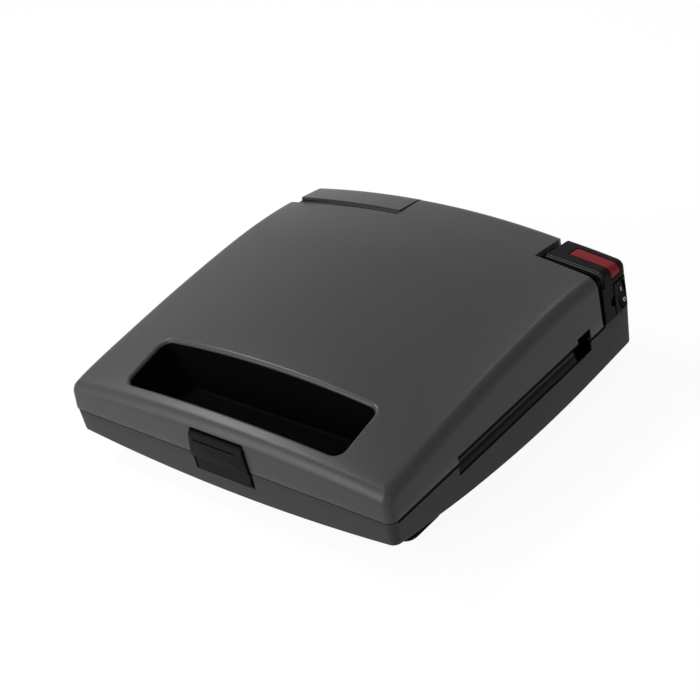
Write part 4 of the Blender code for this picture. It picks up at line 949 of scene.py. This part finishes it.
# %% Grooves and catch of the base
reveal_depth, reveal_height, scoop_reveal = 0.0021, 0.0019, 0.0018
latch_bottom, hook_height, hook_round, lip_height = 0.0127, 0.002, 0.0004, 0.002
hook_tip = -half_depth + 0.0048
reveals = []
for side in (-1, 1):
    reach = sorted((side * far, side * (half_width - base_inset - reveal_depth)))
    low = (reach[0], -half_depth + corner_radius, parting - base_fall - reveal_height)
    reveals.append(block("reveal", low, (reach[1], scoop_start + scoop_reach, parting + overrun)))
    low = (reach[0], scoop_end - scoop_reach, low[2])
    reveals.append(block("rear_reveal", low, (reach[1], tower_front - swing_gap, parting + overrun)))
for tool in grip_cuts(scoop_reveal):
    low = (-far, scoop_start, parting - base_fall - reveal_height)
    reveals.append(carve(tool, block("reveal", low, (far, scoop_end, parting + overrun)), way="INTERSECT"))
carve(base, *grip_cuts(0), *reveals, catch_cut(0))
half, lip_low = latch_half_high, parting - latch_bottom + hook_height + 2 * clearance
front, rear = hook_tip + clearance, -half_depth + base_inset + catch_depth + wall / 2
lip = block("catch_lip", (-half, front, lip_low), (half, rear, lip_low + lip_height))
carve(base, soften(lip, hook_round), way="UNION")
print(len(reveals), "groove cuts")

# %% Bosses and rear wall of the base
foot_places = [(x, y) for x in (-0.114, 0.114) for y in (-0.090, 0.098)]
foot_boss_height = 0.008
bush_x, bush_z, bush_radius = 0.060, parting - 0.019, 0.0055
add_bosses(base, boss_places, base_skin, base_seat, -1)
foot_bosses, foot_holes = [], []
for x, y in foot_places:
    floor_height = height_at(base_skin, x, y)
    rows = ((boss_radius, floor_height + wall / 2), (boss_radius, floor_height + foot_boss_height))
    foot_bosses.append(lathe("foot_boss", rows, "Z", (x, y), sides=32))
    rows = ((screw_radius + clearance, floor_height - overrun), (screw_radius + clearance, parting - wall))
    foot_holes.append(lathe("foot_hole", rows, "Z", (x, y), sides=24))
carve(base, *foot_bosses, way="UNION")
carve(base, *foot_holes)
sweep = math.hypot(half_depth - hinge_y, hinge_z - parting) + swing_gap
swing_ring = oval(sweep, sweep, (hinge_y, hinge_z), sides=160)
carve(base, prism("corner_swing", swing_ring, "X", -cover_inner, tower_inner - clearance))
bush_ring = oval(bush_radius + clearance, bush_radius + clearance, (bush_x, bush_z), sides=48)
carve(base, prism("bush_hole", bush_ring, "Y", half_depth - 2 * wall - overrun, half_depth + overrun))
place(base, "base", "lower_housing", "base_plastic")

# %% [markdown]
# ## The finger well
#
# The tub behind the finger opening is one loft that runs up its outside, over its rim and down its inside
# to a rounded floor. Its inner wall lies flush with the opening, and its rim follows the underside of the
# lid's skin.

# %% Finger well
well_wall, well_floor, well_draft, floor_bend = 0.0016, 0.0012, 0.0022, 0.0018
well_low = parting + lid_lift + clearance
rim_low = height_at(lid_skin, opening_half[0], opening_y - opening_half[1]) - wall - clearance


def under_lid(flat):
    """Height of the underside of the lid's skin over flat points, less a gap."""
    return lid_skin(flat[:, 0], flat[:, 1]) - wall - clearance


outside, inside = opening(well_wall), opening(0)
rings = [raised(opening(well_wall - well_draft), well_low), raised(outside, rim_low)]
rings += [raised(outside, under_lid(outside)), raised(inside, under_lid(inside)), raised(inside, rim_low)]
floor_top = well_low + well_floor
for turn in quarter_turn(7):
    share = (rim_low - floor_top - floor_bend * (1 - math.sin(turn))) / (rim_low - floor_top)
    inset = well_draft * share + floor_bend * (1 - math.cos(turn))
    rings.append(raised(opening(-inset), floor_top + floor_bend * (1 - math.sin(turn))))
well = loft("finger_well", rings, "well_plastic", (0, opening_y, floor_top))
place(well, "lid", "handle_well", "latch_plastic")

# %% [markdown]
# ## The hinge cover and the control tower
#
# Both are slices of the lid's own form. Each starts as a dome with a slightly higher skin, is cut to its
# corner and is hollowed. The cover loses a shelf along its front edge, and its outer end leans in. The
# tower's front edge has two rounded steps with a fine groove behind each, which end part of the way down its
# side. One cutter with that profile follows the tower's own section, so the steps stay parallel to it.

# %% Forms of the rear corners
rear_bottom = parting - base_fall + clearance
rear_half = (half_width - lid_draft / 2, half_depth - lid_draft / 2)


def rear_dome(name, grow, skin, bend, detail=tool_detail, look=None, drop=0.0):
    """The rear form with a skin of its own, grown or drawn in evenly."""
    half = (rear_half[0] + grow, rear_half[1] + grow)
    return dome(
        name, half, corner_radius + grow, rear_bottom - drop, lambda x, y: skin(x, y) + grow, bend + grow,
        lid_draft / 2, detail=detail, look=look,
    )


def corner_box(side, inner, front, grow):
    """The space of a rear corner."""
    reach = sorted((side * (inner - grow), side * far))
    return block("corner_box", (reach[0], front - grow, -overrun), (reach[1], half_depth + overrun, high))


def step_cut(side, inner, front, back, form):
    """What lies outside a form between two places along the depth, above the parting plane."""
    reach = sorted((side * (inner - overrun), side * far))
    return carve(block("strip", (reach[0], front, parting), (reach[1], back, high)), form)


# %% Hinge cover
shelf_depth, end_lean, end_top = 0.0026, 0.02475, 0.069
cover = rear_dome("hinge_cover_cap", 0, cover_skin, lid_bend, shell_detail, "lid_plastic")
carve(cover, corner_box(-1, cover_inner, cover_front, 0), way="INTERSECT")
hollow = rear_dome("cover_hollow", -tower_wall, cover_skin, lid_bend, drop=overrun)
carve(hollow, corner_box(-1, cover_inner, cover_front, -tower_wall), way="INTERSECT")


def leaning_end(grow):
    """What lies outside the cover's outer end, which leans in towards its top."""
    outside, foot, crest = -half_width - 4 * overrun, -half_width + grow, -half_width + end_lean + grow
    corners = [(outside, parting), (foot, parting), (crest, parting + end_top), (outside, parting + end_top)]
    return prism("leaning_end", np.array(corners), "Y", cover_front - overrun, half_depth + overrun)


carve(hollow, leaning_end(tower_wall))
carve(cover, hollow)
carve(cover, leaning_end(0))
lid_half = (half_width - cover_step, half_depth - cover_step)
shelf_form = dome(
    "shelf_form", lid_half, corner_radius - cover_step, parting - overrun,
    lambda x, y: lid_skin(x, y) - cover_step, lid_bend - cover_step, lid_draft,
)
carve(cover, step_cut(-1, cover_inner, cover_front - overrun, cover_front + shelf_depth, shelf_form))
bore = oval(pin_radius + clearance, pin_radius + clearance, (hinge_y, hinge_z), sides=32)
carve(cover, prism("cover_bore", bore, "X", -cover_inner - overrun, -cover_inner + overrun))
place(cover, "base", "hinge_cover", "lid_plastic")

# %% Windows of the tower
lens_front, lens_length, lens_left, lens_drop = half_depth - 0.0208, 0.0108, 0.012, 0.008
panel_front, panel_back = half_depth - 0.0189, half_depth - 0.0033
panel_height, panel_gap, notch_radius = 0.0238, 0.0016, 0.004
lens_gap, lens_shrink = 0.0008, 0.0002
rocker_y, rocker_z = half_depth - 0.0099, parting + 0.0117
rocker_half_y, rocker_half_z, rocker_depth = 0.0053, 0.0108, 0.0024
rocker_x = half_width - lid_draft - rocker_depth


def lens_box(grow):
    """The space of the lens, which wraps over the tower's outer edge."""
    bottom = height_at(tower_skin, half_width, lens_front) - lens_drop
    low = (tower_inner + lens_left - grow, lens_front - grow, bottom - grow)
    return block("lens_box", low, (far, lens_front + lens_length + grow, high))


def panel_box(grow):
    """The space of the switch panel."""
    inner = half_width - lid_draft - tower_wall - tower_bend / 2
    low = (inner, panel_front - grow, parting - overrun)
    return block("panel_box", low, (far, panel_back + grow, parting + panel_height + grow))


print("lens from", round(lens_front, 4), "to", round(lens_front + lens_length, 4))

# %% Front edge of the tower
step_end, edge_step, slope_step = 0.0275, 0.0021, 0.001
top_steps, side_steps, first_turn = 24, 14, 0.1
edge_profile = (  # rows of how far behind the tower's front and how far below its skin
    (0.0, 0.0026), (0.0009, 0.0022), (0.0011, 0.0013), (0.0021, 0.0009), (0.0021, 0.0014), (0.0024, 0.0014),
    (0.0024, 0.0007), (0.0034, 0.0003), (0.0034, 0.0008), (0.0037, 0.0008), (0.0037, 0.0001), (0.0039, 0.0),
)


def tower_block(name, look):
    """The hollow tower before its windows."""
    piece = rear_dome(name, 0, tower_skin, tower_bend, shell_detail, look)
    carve(piece, corner_box(1, tower_inner, tower_front, 0), way="INTERSECT")
    hollow = rear_dome("tower_hollow", -tower_wall, tower_skin, tower_bend, drop=overrun)
    carve(hollow, corner_box(1, tower_inner, tower_front, -tower_wall), way="INTERSECT")
    inner_form = rear_dome("inner_form", -tower_wall - edge_step, tower_skin, tower_bend, drop=overrun)
    carve(hollow, step_cut(1, tower_inner, tower_front - overrun, tower_front + 2 * shelf_depth, inner_form))
    return carve(piece, hollow)


def tower_path():
    """Places and outward ways along the tower's section near its front: over the top and down the side."""
    rows = []
    for x in np.linspace(tower_inner - overrun, rear_half[0] - lid_draft / 2 - tower_bend, top_steps):
        crest = height_at(tower_skin, x, tower_front)
        slope = (height_at(tower_skin, x + slope_step, tower_front) - crest) / slope_step
        way = np.array((-slope, 1.0))
        rows.append((x, crest, *(way / np.linalg.norm(way))))
    for turn in np.linspace(first_turn, math.pi / 2, side_steps):
        out, rise = math.sin(turn), math.cos(turn)
        side = x + tower_bend * out
        crest = height_at(tower_skin, side, tower_front)
        rows.append((side, crest - tower_bend * (1 - rise), out, rise))
    rows.append((rows[-1][0] + lid_draft / 4, parting + step_end, 1.0, 0.0))
    return rows


def front_edge():
    """A cutter that follows the tower's section and leaves a stepped, rounded front edge."""
    end = edge_profile[-1][0]
    profile = [(-overrun, edge_profile[0][1]), *edge_profile, (end, -overrun), (-overrun, -overrun)]
    rings = []
    for x, z, out, rise in tower_path():
        ring = [(x - out * sink, tower_front + behind, z - rise * sink) for behind, sink in profile]
        rings.append(np.array(ring))
    return loft("front_edge", rings)


print(len(tower_path()), "sections along the front edge")

# %% Tower
tower = tower_block("tower_shell", "tower_plastic")
carve(tower, front_edge())
carve(tower, lens_box(lens_gap))
carve(tower, panel_box(panel_gap))
ring = oval(notch_radius, notch_radius, (panel_front - panel_gap, rocker_z), sides=32)
carve(tower, prism("finger_notch", ring, "X", half_width - tower_wall - tower_bend / 2, far))
carve(tower, prism("tower_bore", bore, "X", tower_inner - overrun, tower_inner + overrun))
place(tower, "base", "control_tower", "tower_plastic")

# %% Lens and switch panel
lens = tower_block("lens", "red_lens")
carve(lens, lens_box(-lens_shrink), way="INTERSECT")
place(lens, "base", "indicator_lens", "red_lens")

panel = tower_block("panel", "tower_plastic")
carve(panel, panel_box(0), way="INTERSECT")
hole = oval(rocker_half_y + 2 * clearance, rocker_half_z + 2 * clearance, (rocker_y, rocker_z), sides=64)
carve(panel, prism("rocker_hole", hole, "X", half_width - 2 * tower_wall - overrun, far))
place(panel, "base", "switch_panel", "tower_plastic")

# %% [markdown]
# ## The rocker
#
# The rocker is an oval button with a hollowed face, tipped about its axis so that its upper end is pressed
# in. Its two marks aren't separate pieces but paint, so they are masks made from places on the rocker: a
# short bar for on and a ring for off.

# %% Marks of the rocker
bar_y, ring_y = rocker_y + 0.0012, rocker_y + 0.0019
bar_z, bar_half_height, bar_half_width = parting + 0.0145, 0.0016, 0.00040
ring_z, ring_radius, ring_half_width = parting + 0.0060, 0.00115, 0.00030
mark_edge, mark_paint = 0.00010, (0.55, 0.55, 0.54)


def build_marks():
    """Masks of the on bar and the off ring, read from places in metres."""
    group, nodes, links, entry, leave = new_group("switch_marks", (("Edge", mark_edge),), ("Mask",))
    y, z = axes_of(nodes, links)[1:]

    def beyond(value, middle, half):
        """How far a value lies beyond half a width from a middle."""
        away = maths(nodes, links, "SUBTRACT", value, middle)
        return maths(nodes, links, "SUBTRACT", size_of(nodes, links, away), half)

    bar = maths(nodes, links, "MAXIMUM", beyond(y, bar_y, bar_half_width), beyond(z, bar_z, bar_half_height))
    squares = []
    for value, middle in ((y, ring_y), (z, ring_z)):
        away = maths(nodes, links, "SUBTRACT", value, middle)
        squares.append(maths(nodes, links, "MULTIPLY", away, away))
    radius = maths(nodes, links, "SQRT", maths(nodes, links, "ADD", *squares), 0.0)
    nearest = maths(nodes, links, "MINIMUM", bar, beyond(radius, ring_radius, ring_half_width))
    below = maths(nodes, links, "MULTIPLY", entry.outputs["Edge"], -1.0)
    links.new(spread(nodes, links, nearest, below, entry.outputs["Edge"], 1.0, 0.0), leave.inputs["Mask"])
    return group


face = finish("rocker_face", switch_black, (0.20, 0.26), smooth_grain, specular=0.025)
tone_by_mask(face, build_marks(), mark_paint)
finishes["rocker_face"] = face
print("marks on", face.name)

# %% Rocker
rocker_tilt = math.radians(-8)
face_hollow, face_round, rocker_fit = 0.0011, 0.0006, 0.985
face_parts = (0.85, 0.7, 0.55, 0.4, 0.25, 0.1)
face_start = rocker_depth - face_hollow - face_round
rocker_back = ((-0.0022, 0.004), (-0.0011, 0.0004), (0.0, 0.0), (face_start, 0.0))
cosine, sine = math.cos(rocker_tilt), math.sin(rocker_tilt)
tilt = np.array(((cosine, sine), (-sine, cosine)))


def rocker_ring(depth_out, inset, share=1.0, hollow=False):
    """An oval of the rocker at a distance out from its axis, tipped with it."""
    free = math.sqrt(1 - (depth_out / rocker_half_z) ** 2) * rocker_fit
    ring = oval(rocker_half_y * free - inset, rocker_half_z * free - inset, sides=64) * share
    out = np.full(len(ring), depth_out)
    if hollow:
        out = out - face_hollow * (1 - (ring[:, 1] / rocker_half_z) ** 2)
    tipped = np.column_stack([out, ring[:, 1]]) @ tilt.T
    return np.column_stack([rocker_x + tipped[:, 0], rocker_y + ring[:, 0], rocker_z + tipped[:, 1]])


rings = [rocker_ring(depth_out, inset) for depth_out, inset in rocker_back]
for turn in quarter_turn(5):
    ring = rocker_ring(rocker_depth, face_round * (1 - math.cos(turn)), 1.0, True)
    ring[:, 0] -= face_round * (1 - math.sin(turn))
    rings.append(ring)
for part in face_parts:
    rings.append(rocker_ring(rocker_depth, face_round, part, True))
tip_out = rocker_depth - face_hollow
tip = (rocker_x + tip_out * cosine, rocker_y, rocker_z - tip_out * sine)
rocker = loft("rocker", rings, "rocker_face", tip)
place(rocker, "rocker", "switch_rocker", "switch_plastic")

# %% [markdown]
# ## The latch
#
# The latch is one moulding. Its thumb block has a sloped facet along its top and a shallow groove that the
# thumb presses on, and its tongue lies a step further in and ends in a hook. Block, tongue, hook, the boss
# for the pin and the web between them are made apart and joined with a Boolean.

# %% Outlines of the latch
latch_proud, latch_thickness, latch_gap, latch_top = 0.0017, 0.0045, 0.0006, 0.0193
latch_front = -half_depth - latch_proud
latch_back = latch_front + latch_thickness
step_rise, step_in = 0.0008, 0.0022
facet_height, facet_depth, facet_start, facet_turn, edge_round = 0.0025, 0.0008, 0.7, 0.3, 0.0004
thumb_corners, tongue_corners = (0.0005, 0.0005, 0.0012, 0.0012), (0.001, 0.001, least_bend, least_bend)
hook_side, hook_overlap, web_half, latch_boss = 0.0013, 0.0016, 0.0014, 0.0028
groove_left, groove_right, groove_rise, groove_height, groove_depth = 0.021, 0.017, 0.0134, 0.0024, 0.0009


def thumb_ring(y, side_inset, low_inset, top_inset):
    """Front view of the thumb block, drawn in along each edge."""
    low, high = parting - step_rise + low_inset, parting + latch_top - top_inset
    wide = latch_half(low - parting) - latch_gap - side_inset
    narrow = latch_half(high - parting) - latch_gap - side_inset
    corners = [(-wide, low), (wide, low), (narrow, high), (-narrow, high)]
    return laid("Y", filleted(corners, thumb_corners), y)


def tongue_ring(y, inset):
    """Front view of the tongue, drawn in along each edge."""
    low, high = parting - latch_bottom + inset, parting - step_rise + step_in
    wide = latch_half_low - latch_gap - step_in - inset
    corners = [(-wide, low), (wide, low), (wide + step_in / 2, high), (-wide - step_in / 2, high)]
    return laid("Y", filleted(corners, tongue_corners), y)


# %% Latch
rings = [thumb_ring(latch_back, 0, 0, 0), thumb_ring(latch_front + facet_depth, 0, 0, 0)]
rings.append(thumb_ring(latch_front + edge_round, least_bend / 3, least_bend / 3, facet_height / 2))
for turn in np.linspace(facet_turn, math.pi / 2, 4):
    rounded = edge_round * (1 - math.cos(math.pi / 2 - turn))
    inset = edge_round * (1 - math.cos(turn))
    top_inset = facet_height * (facet_start + (1 - facet_start) * turn / math.pi * 2)
    rings.append(thumb_ring(latch_front + rounded, inset, inset, top_inset))
latch = loft("latch_moulding", rings, "latch_plastic")
tongue_front = latch_front + step_in
tongue_rows = ((latch_back, 0), (tongue_front + edge_round, 0), (tongue_front, edge_round))
tongue = loft("tongue", [tongue_ring(y, inset) for y, inset in tongue_rows])
low, inside = parting - latch_bottom, latch_back - hook_overlap
half = latch_half_high - latch_gap - hook_side
hook = block("hook", (-half, inside, low), (half, hook_tip, low + hook_height))
boss = prism("latch_boss", oval(latch_boss, latch_boss, (latch_y, latch_z), sides=40), "X", -half, half)
half = half - step_in
web = block("web", (-half, inside, latch_z - web_half), (half, latch_y, latch_z + web_half))
carve(latch, tongue, soften(hook, hook_round), boss, web, way="UNION")
middle, wide, narrow = parting + groove_rise, groove_height * 3 / 4, groove_height / 4
profile = np.array((
    (latch_front - overrun, middle - wide), (latch_front + groove_depth, middle - narrow),
    (latch_front + groove_depth, middle + narrow), (latch_front - overrun, middle + wide),
))
carve(latch, prism("groove", profile, "X", -groove_left, groove_right))
carve(latch, prism("latch_bore", pin_ring, "X", -across, across))
place(latch, "latch", "latch", "latch_plastic")

# %% [markdown]
# ## The latch spring
#
# A small coil behind the thumb block pushes it out again. It is one wire carried round a helix. When the
# latch is pressed a real coil closes up.

# %% Latch spring
spring_radius, spring_wire, spring_turns, spring_steps = 0.0024, 0.00035, 4, 24
spring_z, spring_keep = parting + 0.0145, 0.55
spring_front = latch_back + 2 * clearance + spring_wire
spring_rear = -half_depth + recess_depth - clearance - spring_wire


def coil_ring(turn):
    """A ring round the wire, a number of turns from the spring's front end."""
    angle = 2 * math.pi * turn
    y = spring_front + (spring_rear - spring_front) * turn / spring_turns
    out, along = oval(spring_wire, spring_wire, (spring_radius, y), sides=10).T
    return np.column_stack([out * math.cos(angle), along, spring_z + out * math.sin(angle)])


turns = np.linspace(0, spring_turns, spring_turns * spring_steps + 1)
coil = loft("latch_coil", [coil_ring(turn) for turn in turns], "steel")
place(coil, "lid", "latch_spring", "steel")
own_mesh(coil)
print("the spring closes to", spring_keep, "of its length as the latch is pressed")

# %% [markdown]
# ## Feet and small fixings
#
# The feet are rubber blocks with a rounded tread. Their tops follow the hull of the base, so no gap shows.
# Screws have a domed head with a cross recess and a threaded shank.

# %% Feet
foot_half, foot_radius, foot_tread, foot_well = (0.0135, 0.020), 0.009, 0.0015, 0.006
head_radius, well_flare, well_edge = 0.0036, 0.0005, 0.0008


def corner_name(x, y):
    """Which corner of the object a place is in."""
    return ("front_" if y < 0 else "rear_") + ("left" if x < 0 else "right")


for x, y in foot_places:
    rings = []
    for turn in quarter_turn(6):
        inset = foot_tread * (1 - math.sin(turn))
        flat = outline(foot_half[0] - inset, foot_half[1] - inset, foot_radius - inset, (x, y), sides=(4, 6))
        rings.append(raised(flat, foot_tread * (1 - math.cos(turn))))
    middle, full = np.array((x, y)), flat
    for share in (1.0, 0.8, 0.6, 0.4, 0.2):
        flat = middle + (full - middle) * share
        rings.append(raised(flat, base_skin(flat[:, 0], flat[:, 1]) - clearance))
    peak = height_at(base_skin, x, y) - clearance
    corner = corner_name(x, y)
    foot = loft("foot_" + corner + "_rubber", rings, "rubber", (x, y, peak))
    head, shank = head_radius + clearance, screw_radius + clearance
    rows = ((head + well_flare, -overrun), (head + well_flare, 0.0), (head, well_edge), (head, foot_well))
    well_tool = lathe("foot_well", rows, "Z", (x, y))
    rows = ((shank, foot_well - clearance), (shank, parting))
    carve(foot, well_tool, lathe("foot_hole", rows, "Z", (x, y), sides=24))
    place(foot, "base", "foot_" + corner, "foot_rubber")


# %% A screw
thread_pitch, thread_root, slot_half = 0.0008, 0.8, 0.00035
head_shares = ((0.55, 0.0), (0.85, 0.15), (1.0, 0.5), (1.0, 1.0))
slot_reach, slot_depth, tip_share = 0.62, 0.6, 0.35
head_low, head_seat, screw_tip, lower_extra, sole_face = 0.0008, 0.0025, 0.0107, 0.0001, 0.0043


def screw(name, x, y, head_face, seat, tip):
    """A pan-head screw from its head face by the seat under its head to its tip."""
    way = 1 if tip > seat else -1
    under = seat - way * clearance
    tall = abs(under - head_face)
    rows = [(head_radius * wide, head_face + way * tall * share) for wide, share in head_shares]
    rows.append((screw_radius, under))
    for i in range(int(abs(tip - under) / thread_pitch) - 2):
        start = under + way * thread_pitch * (i + 0.5)
        rows += [(screw_radius * thread_root, start), (screw_radius, start + way * thread_pitch / 2)]
    rows.append((screw_radius * tip_share, tip))
    piece = lathe(name, rows, "Z", (x, y), "steel", sides=28)
    arm = head_radius * slot_reach
    low, top = sorted((head_face - way * overrun, head_face + way * tall * slot_depth))
    slots = []
    for half_x, half_y in ((arm, slot_half), (slot_half, arm)):
        slots.append(block("slot", (x - half_x, y - half_y, low), (x + half_x, y + half_y, top)))
    return carve(piece, *slots)


# %% Screws
for x, y in boss_places:
    label = corner_name(x, y)
    for layer, body, way, extra in (("upper", "lid", 1, 0.0), ("lower", "base", -1, lower_extra)):
        levels = [parting + way * (rise + extra) for rise in (head_low, head_seat, screw_tip)]
        piece = screw(f"{layer}_screw_{label}", x, y, *levels)
        place(piece, body, f"{layer}_frame_screw_{label}", "steel")
for x, y in foot_places:
    label = corner_name(x, y)
    tip_height = height_at(base_skin, x, y) + foot_boss_height - screw_radius
    piece = screw("sole_screw_" + label, x, y, sole_face, foot_well, tip_height)
    place(piece, "base", "foot_screw_" + label, "steel")

# %% Pins and cord bush
pin_reach, pin_edge, pin_tip = 0.0095, 0.0003, ((1.0, 0.001), (0.9, 0.0004), (2 / 3, 0.0))
latch_pin, latch_pin_end, latch_pin_edge = 0.0015, 0.7, 0.0005
for label, face, way in (("left", -cover_inner, 1), ("right", tower_inner, -1)):
    start, end = face - way * pin_reach / 2, face + way * pin_reach
    rows = [(pin_radius - pin_edge, start), (pin_radius, start + way * pin_edge)]
    rows += [(pin_radius * share, end - way * short) for share, short in pin_tip]
    pin = lathe("pin_" + label, rows, "X", (hinge_y, hinge_z), "steel")
    place(pin, "base", "hinge_pin_" + label, "steel")
reach, end = latch_half_low + wall, latch_pin * latch_pin_end
rows = [(end, -reach), (latch_pin, latch_pin_edge - reach), (latch_pin, reach - latch_pin_edge), (end, reach)]
place(lathe("latch_pin_rod", rows, "X", (latch_y, latch_z), "steel"), "lid", "latch_pin", "steel")

bush_flange, bush_bore, bush_proud, bush_edge = 0.0078, 0.0034, 0.0018, 0.0005
bush_outside = half_depth - base_inset + clearance
bush_inside = half_depth - base_inset - base_draft - 2 * wall - clearance
rows = [(bush_radius, bush_inside), (bush_radius, bush_outside), (bush_flange, bush_outside)]
for turn in quarter_turn(5):
    inset = bush_proud / 2 * (1 - math.cos(turn))
    rows.append((bush_flange - inset, bush_outside + bush_proud * math.sin(turn)))
end = bush_outside + bush_proud
rows += [(bush_bore + bush_edge, end), (bush_bore, end - bush_edge), (bush_bore, bush_inside)]
bush = lathe("bush", rows, "Y", (bush_x, bush_z), "rubber", sides=48, ring_joint=True)
place(bush, "base", "cord_bush", "bush_rubber")

# %% [markdown]
# ## The cooking plates
#
# Each plate is a flange with four triangular pockets pressed into it, so a sandwich comes out sealed and
# cut in two. The mouth of a pocket rolls over into the flange, its wall leans in, and a fillet turns it
# into the floor. Upper and lower plate are mirror images about the parting plane.

# %% Plate pockets
plate_half, plate_y, plate_radius = (0.120, 0.075), 0.005, 0.010
plate_face, plate_flange, plate_edge, plate_turn = 0.0003, 0.003, 0.0005, 0.3
pocket_margin, pocket_middle, pocket_rib, pocket_radius = 0.0115, 0.009, 0.005, 0.008
pocket_depth, pocket_slope, pocket_wall, pocket_fillet, mouth_round = 0.011, 0.0075, 0.002, 0.003, 0.0015


def drawn_in(corners, insets):
    """A triangle, counter-clockwise, with each side moved in by its own distance."""
    lines = []
    for i in range(3):
        start, end = np.array(corners[i]), np.array(corners[(i + 1) % 3])
        way = (end - start) / np.linalg.norm(end - start)
        lines.append((start + np.array((-way[1], way[0])) * insets[i], way))
    points = []
    for i in range(3):
        (first, first_way), (second, second_way) = lines[i - 1], lines[i]
        shares = np.linalg.solve(np.column_stack([first_way, -second_way]), second - first)
        points.append(first + first_way * shares[0])
    return points


def pocket_triangles():
    """Corners of the four pockets, counter-clockwise."""
    near, far_x = pocket_middle / 2, plate_half[0] - pocket_margin
    front, rear = plate_y - plate_half[1] + pocket_margin, plate_y + plate_half[1] - pocket_margin
    first, last = (near, front), (far_x, rear)
    right_side = [(first, (far_x, front), last), (first, last, (near, rear))]
    return right_side + [tuple((-x, y) for x, y in reversed(corners)) for corners in right_side]


def pocket_ring(corners, inset, height):
    """A rounded triangle at a height, drawn in from the pocket's mouth, further along the diagonal rib."""
    insets = []
    for i in range(3):
        start, end = corners[i], corners[(i + 1) % 3]
        insets.append(inset + (pocket_rib / 2 if start[0] != end[0] and start[1] != end[1] else 0))
    radius = pocket_radius - min(inset, 0) - max(inset, 0) / 2
    return raised(filleted(drawn_in(corners, insets), radius, steps=8), height)


def pocket_rows(way):
    """Insets and heights of a pocket's inside, from above its mouth to its floor."""
    lean = math.atan(pocket_slope / pocket_depth)
    rows = [(-mouth_round, -overrun)]
    for turn in np.linspace(0, math.pi / 2 - lean, 5):
        rows.append((-mouth_round * (1 - math.sin(turn)), mouth_round * (1 - math.cos(turn))))
    start_in, start_down = rows[-1]
    end_down = pocket_depth - pocket_fillet * (1 - math.sin(lean))
    end_in = start_in + (end_down - start_down) * math.tan(lean)
    for turn in np.linspace(lean, math.pi / 2, 6):
        down = end_down + pocket_fillet * (math.sin(turn) - math.sin(lean))
        rows.append((end_in + pocket_fillet * (math.cos(lean) - math.cos(turn)), down))
    return [(inset, parting + way * (plate_face + down)) for inset, down in rows]


# %% Plates
def flat_plate(way):
    """The flange of a plate, with its edges rounded."""
    rings = []
    edge, low, turn = plate_edge, plate_flange, plate_edge * plate_turn
    for down, inset in ((0, edge), (turn, turn), (edge, 0), (low - edge, 0), (low, edge)):
        half_x, half_y = plate_half[0] - inset, plate_half[1] - inset
        flat = outline(half_x, half_y, plate_radius, (0, plate_y), sides=(20, 12))
        rings.append(raised(flat, parting + way * (plate_face + down)))
    return loft("lower_cooking_plate" if way < 0 else "upper_cooking_plate", rings, "plate_coating")


for way, body, node in ((-1, "base", "lower_plate"), (1, "lid", "upper_plate")):
    plate = flat_plate(way)
    lean = pocket_slope / pocket_depth
    start, end = plate_flange / 2, pocket_depth + pocket_wall
    rows = ((start, -pocket_wall), (end - pocket_wall, -pocket_wall), (end, 0.0))
    shell_rows = [(lean * down + inset, parting + way * (plate_face + down)) for down, inset in rows]
    shells, hollows = [], []
    for corners in pocket_triangles():
        shells.append(loft("pocket_shell", [pocket_ring(corners, inset, z) for inset, z in shell_rows]))
        hollow_rings = [pocket_ring(corners, inset, z) for inset, z in pocket_rows(way)]
        hollows.append(loft("pocket_hollow", hollow_rings))
    carve(plate, *shells, way="UNION")
    carve(plate, *hollows)
    place(plate, body, node, "plate_coating")

# %% [markdown]
# ## Pieces that keep their measured shape
#
# The frames, elements, trays and the small electrical pieces already have the right shape. They could be
# modelled again too, but nothing would be gained, so they stay and only get the finer finishes.

# %% Kept pieces
kept = {
    "frame_plastic": ("upper_frame", "lower_frame"),
    "element_sheath": ("upper_element", "lower_element"),
    "reflector_sheet": ("upper_reflector", "lower_reflector"),
    "ceramic": ("thermostat", "terminal_block"),
    "steel": ("thermal_fuse",),
    "switch_plastic": ("switch_body",),
    "lamp_glass": ("indicator_lamp",),
}
for look, names in kept.items():
    for name in names:
        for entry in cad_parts[name].material_slots:
            entry.material = finishes[look]
print(sum(len(names) for names in kept.values()), "pieces keep their measured shape")
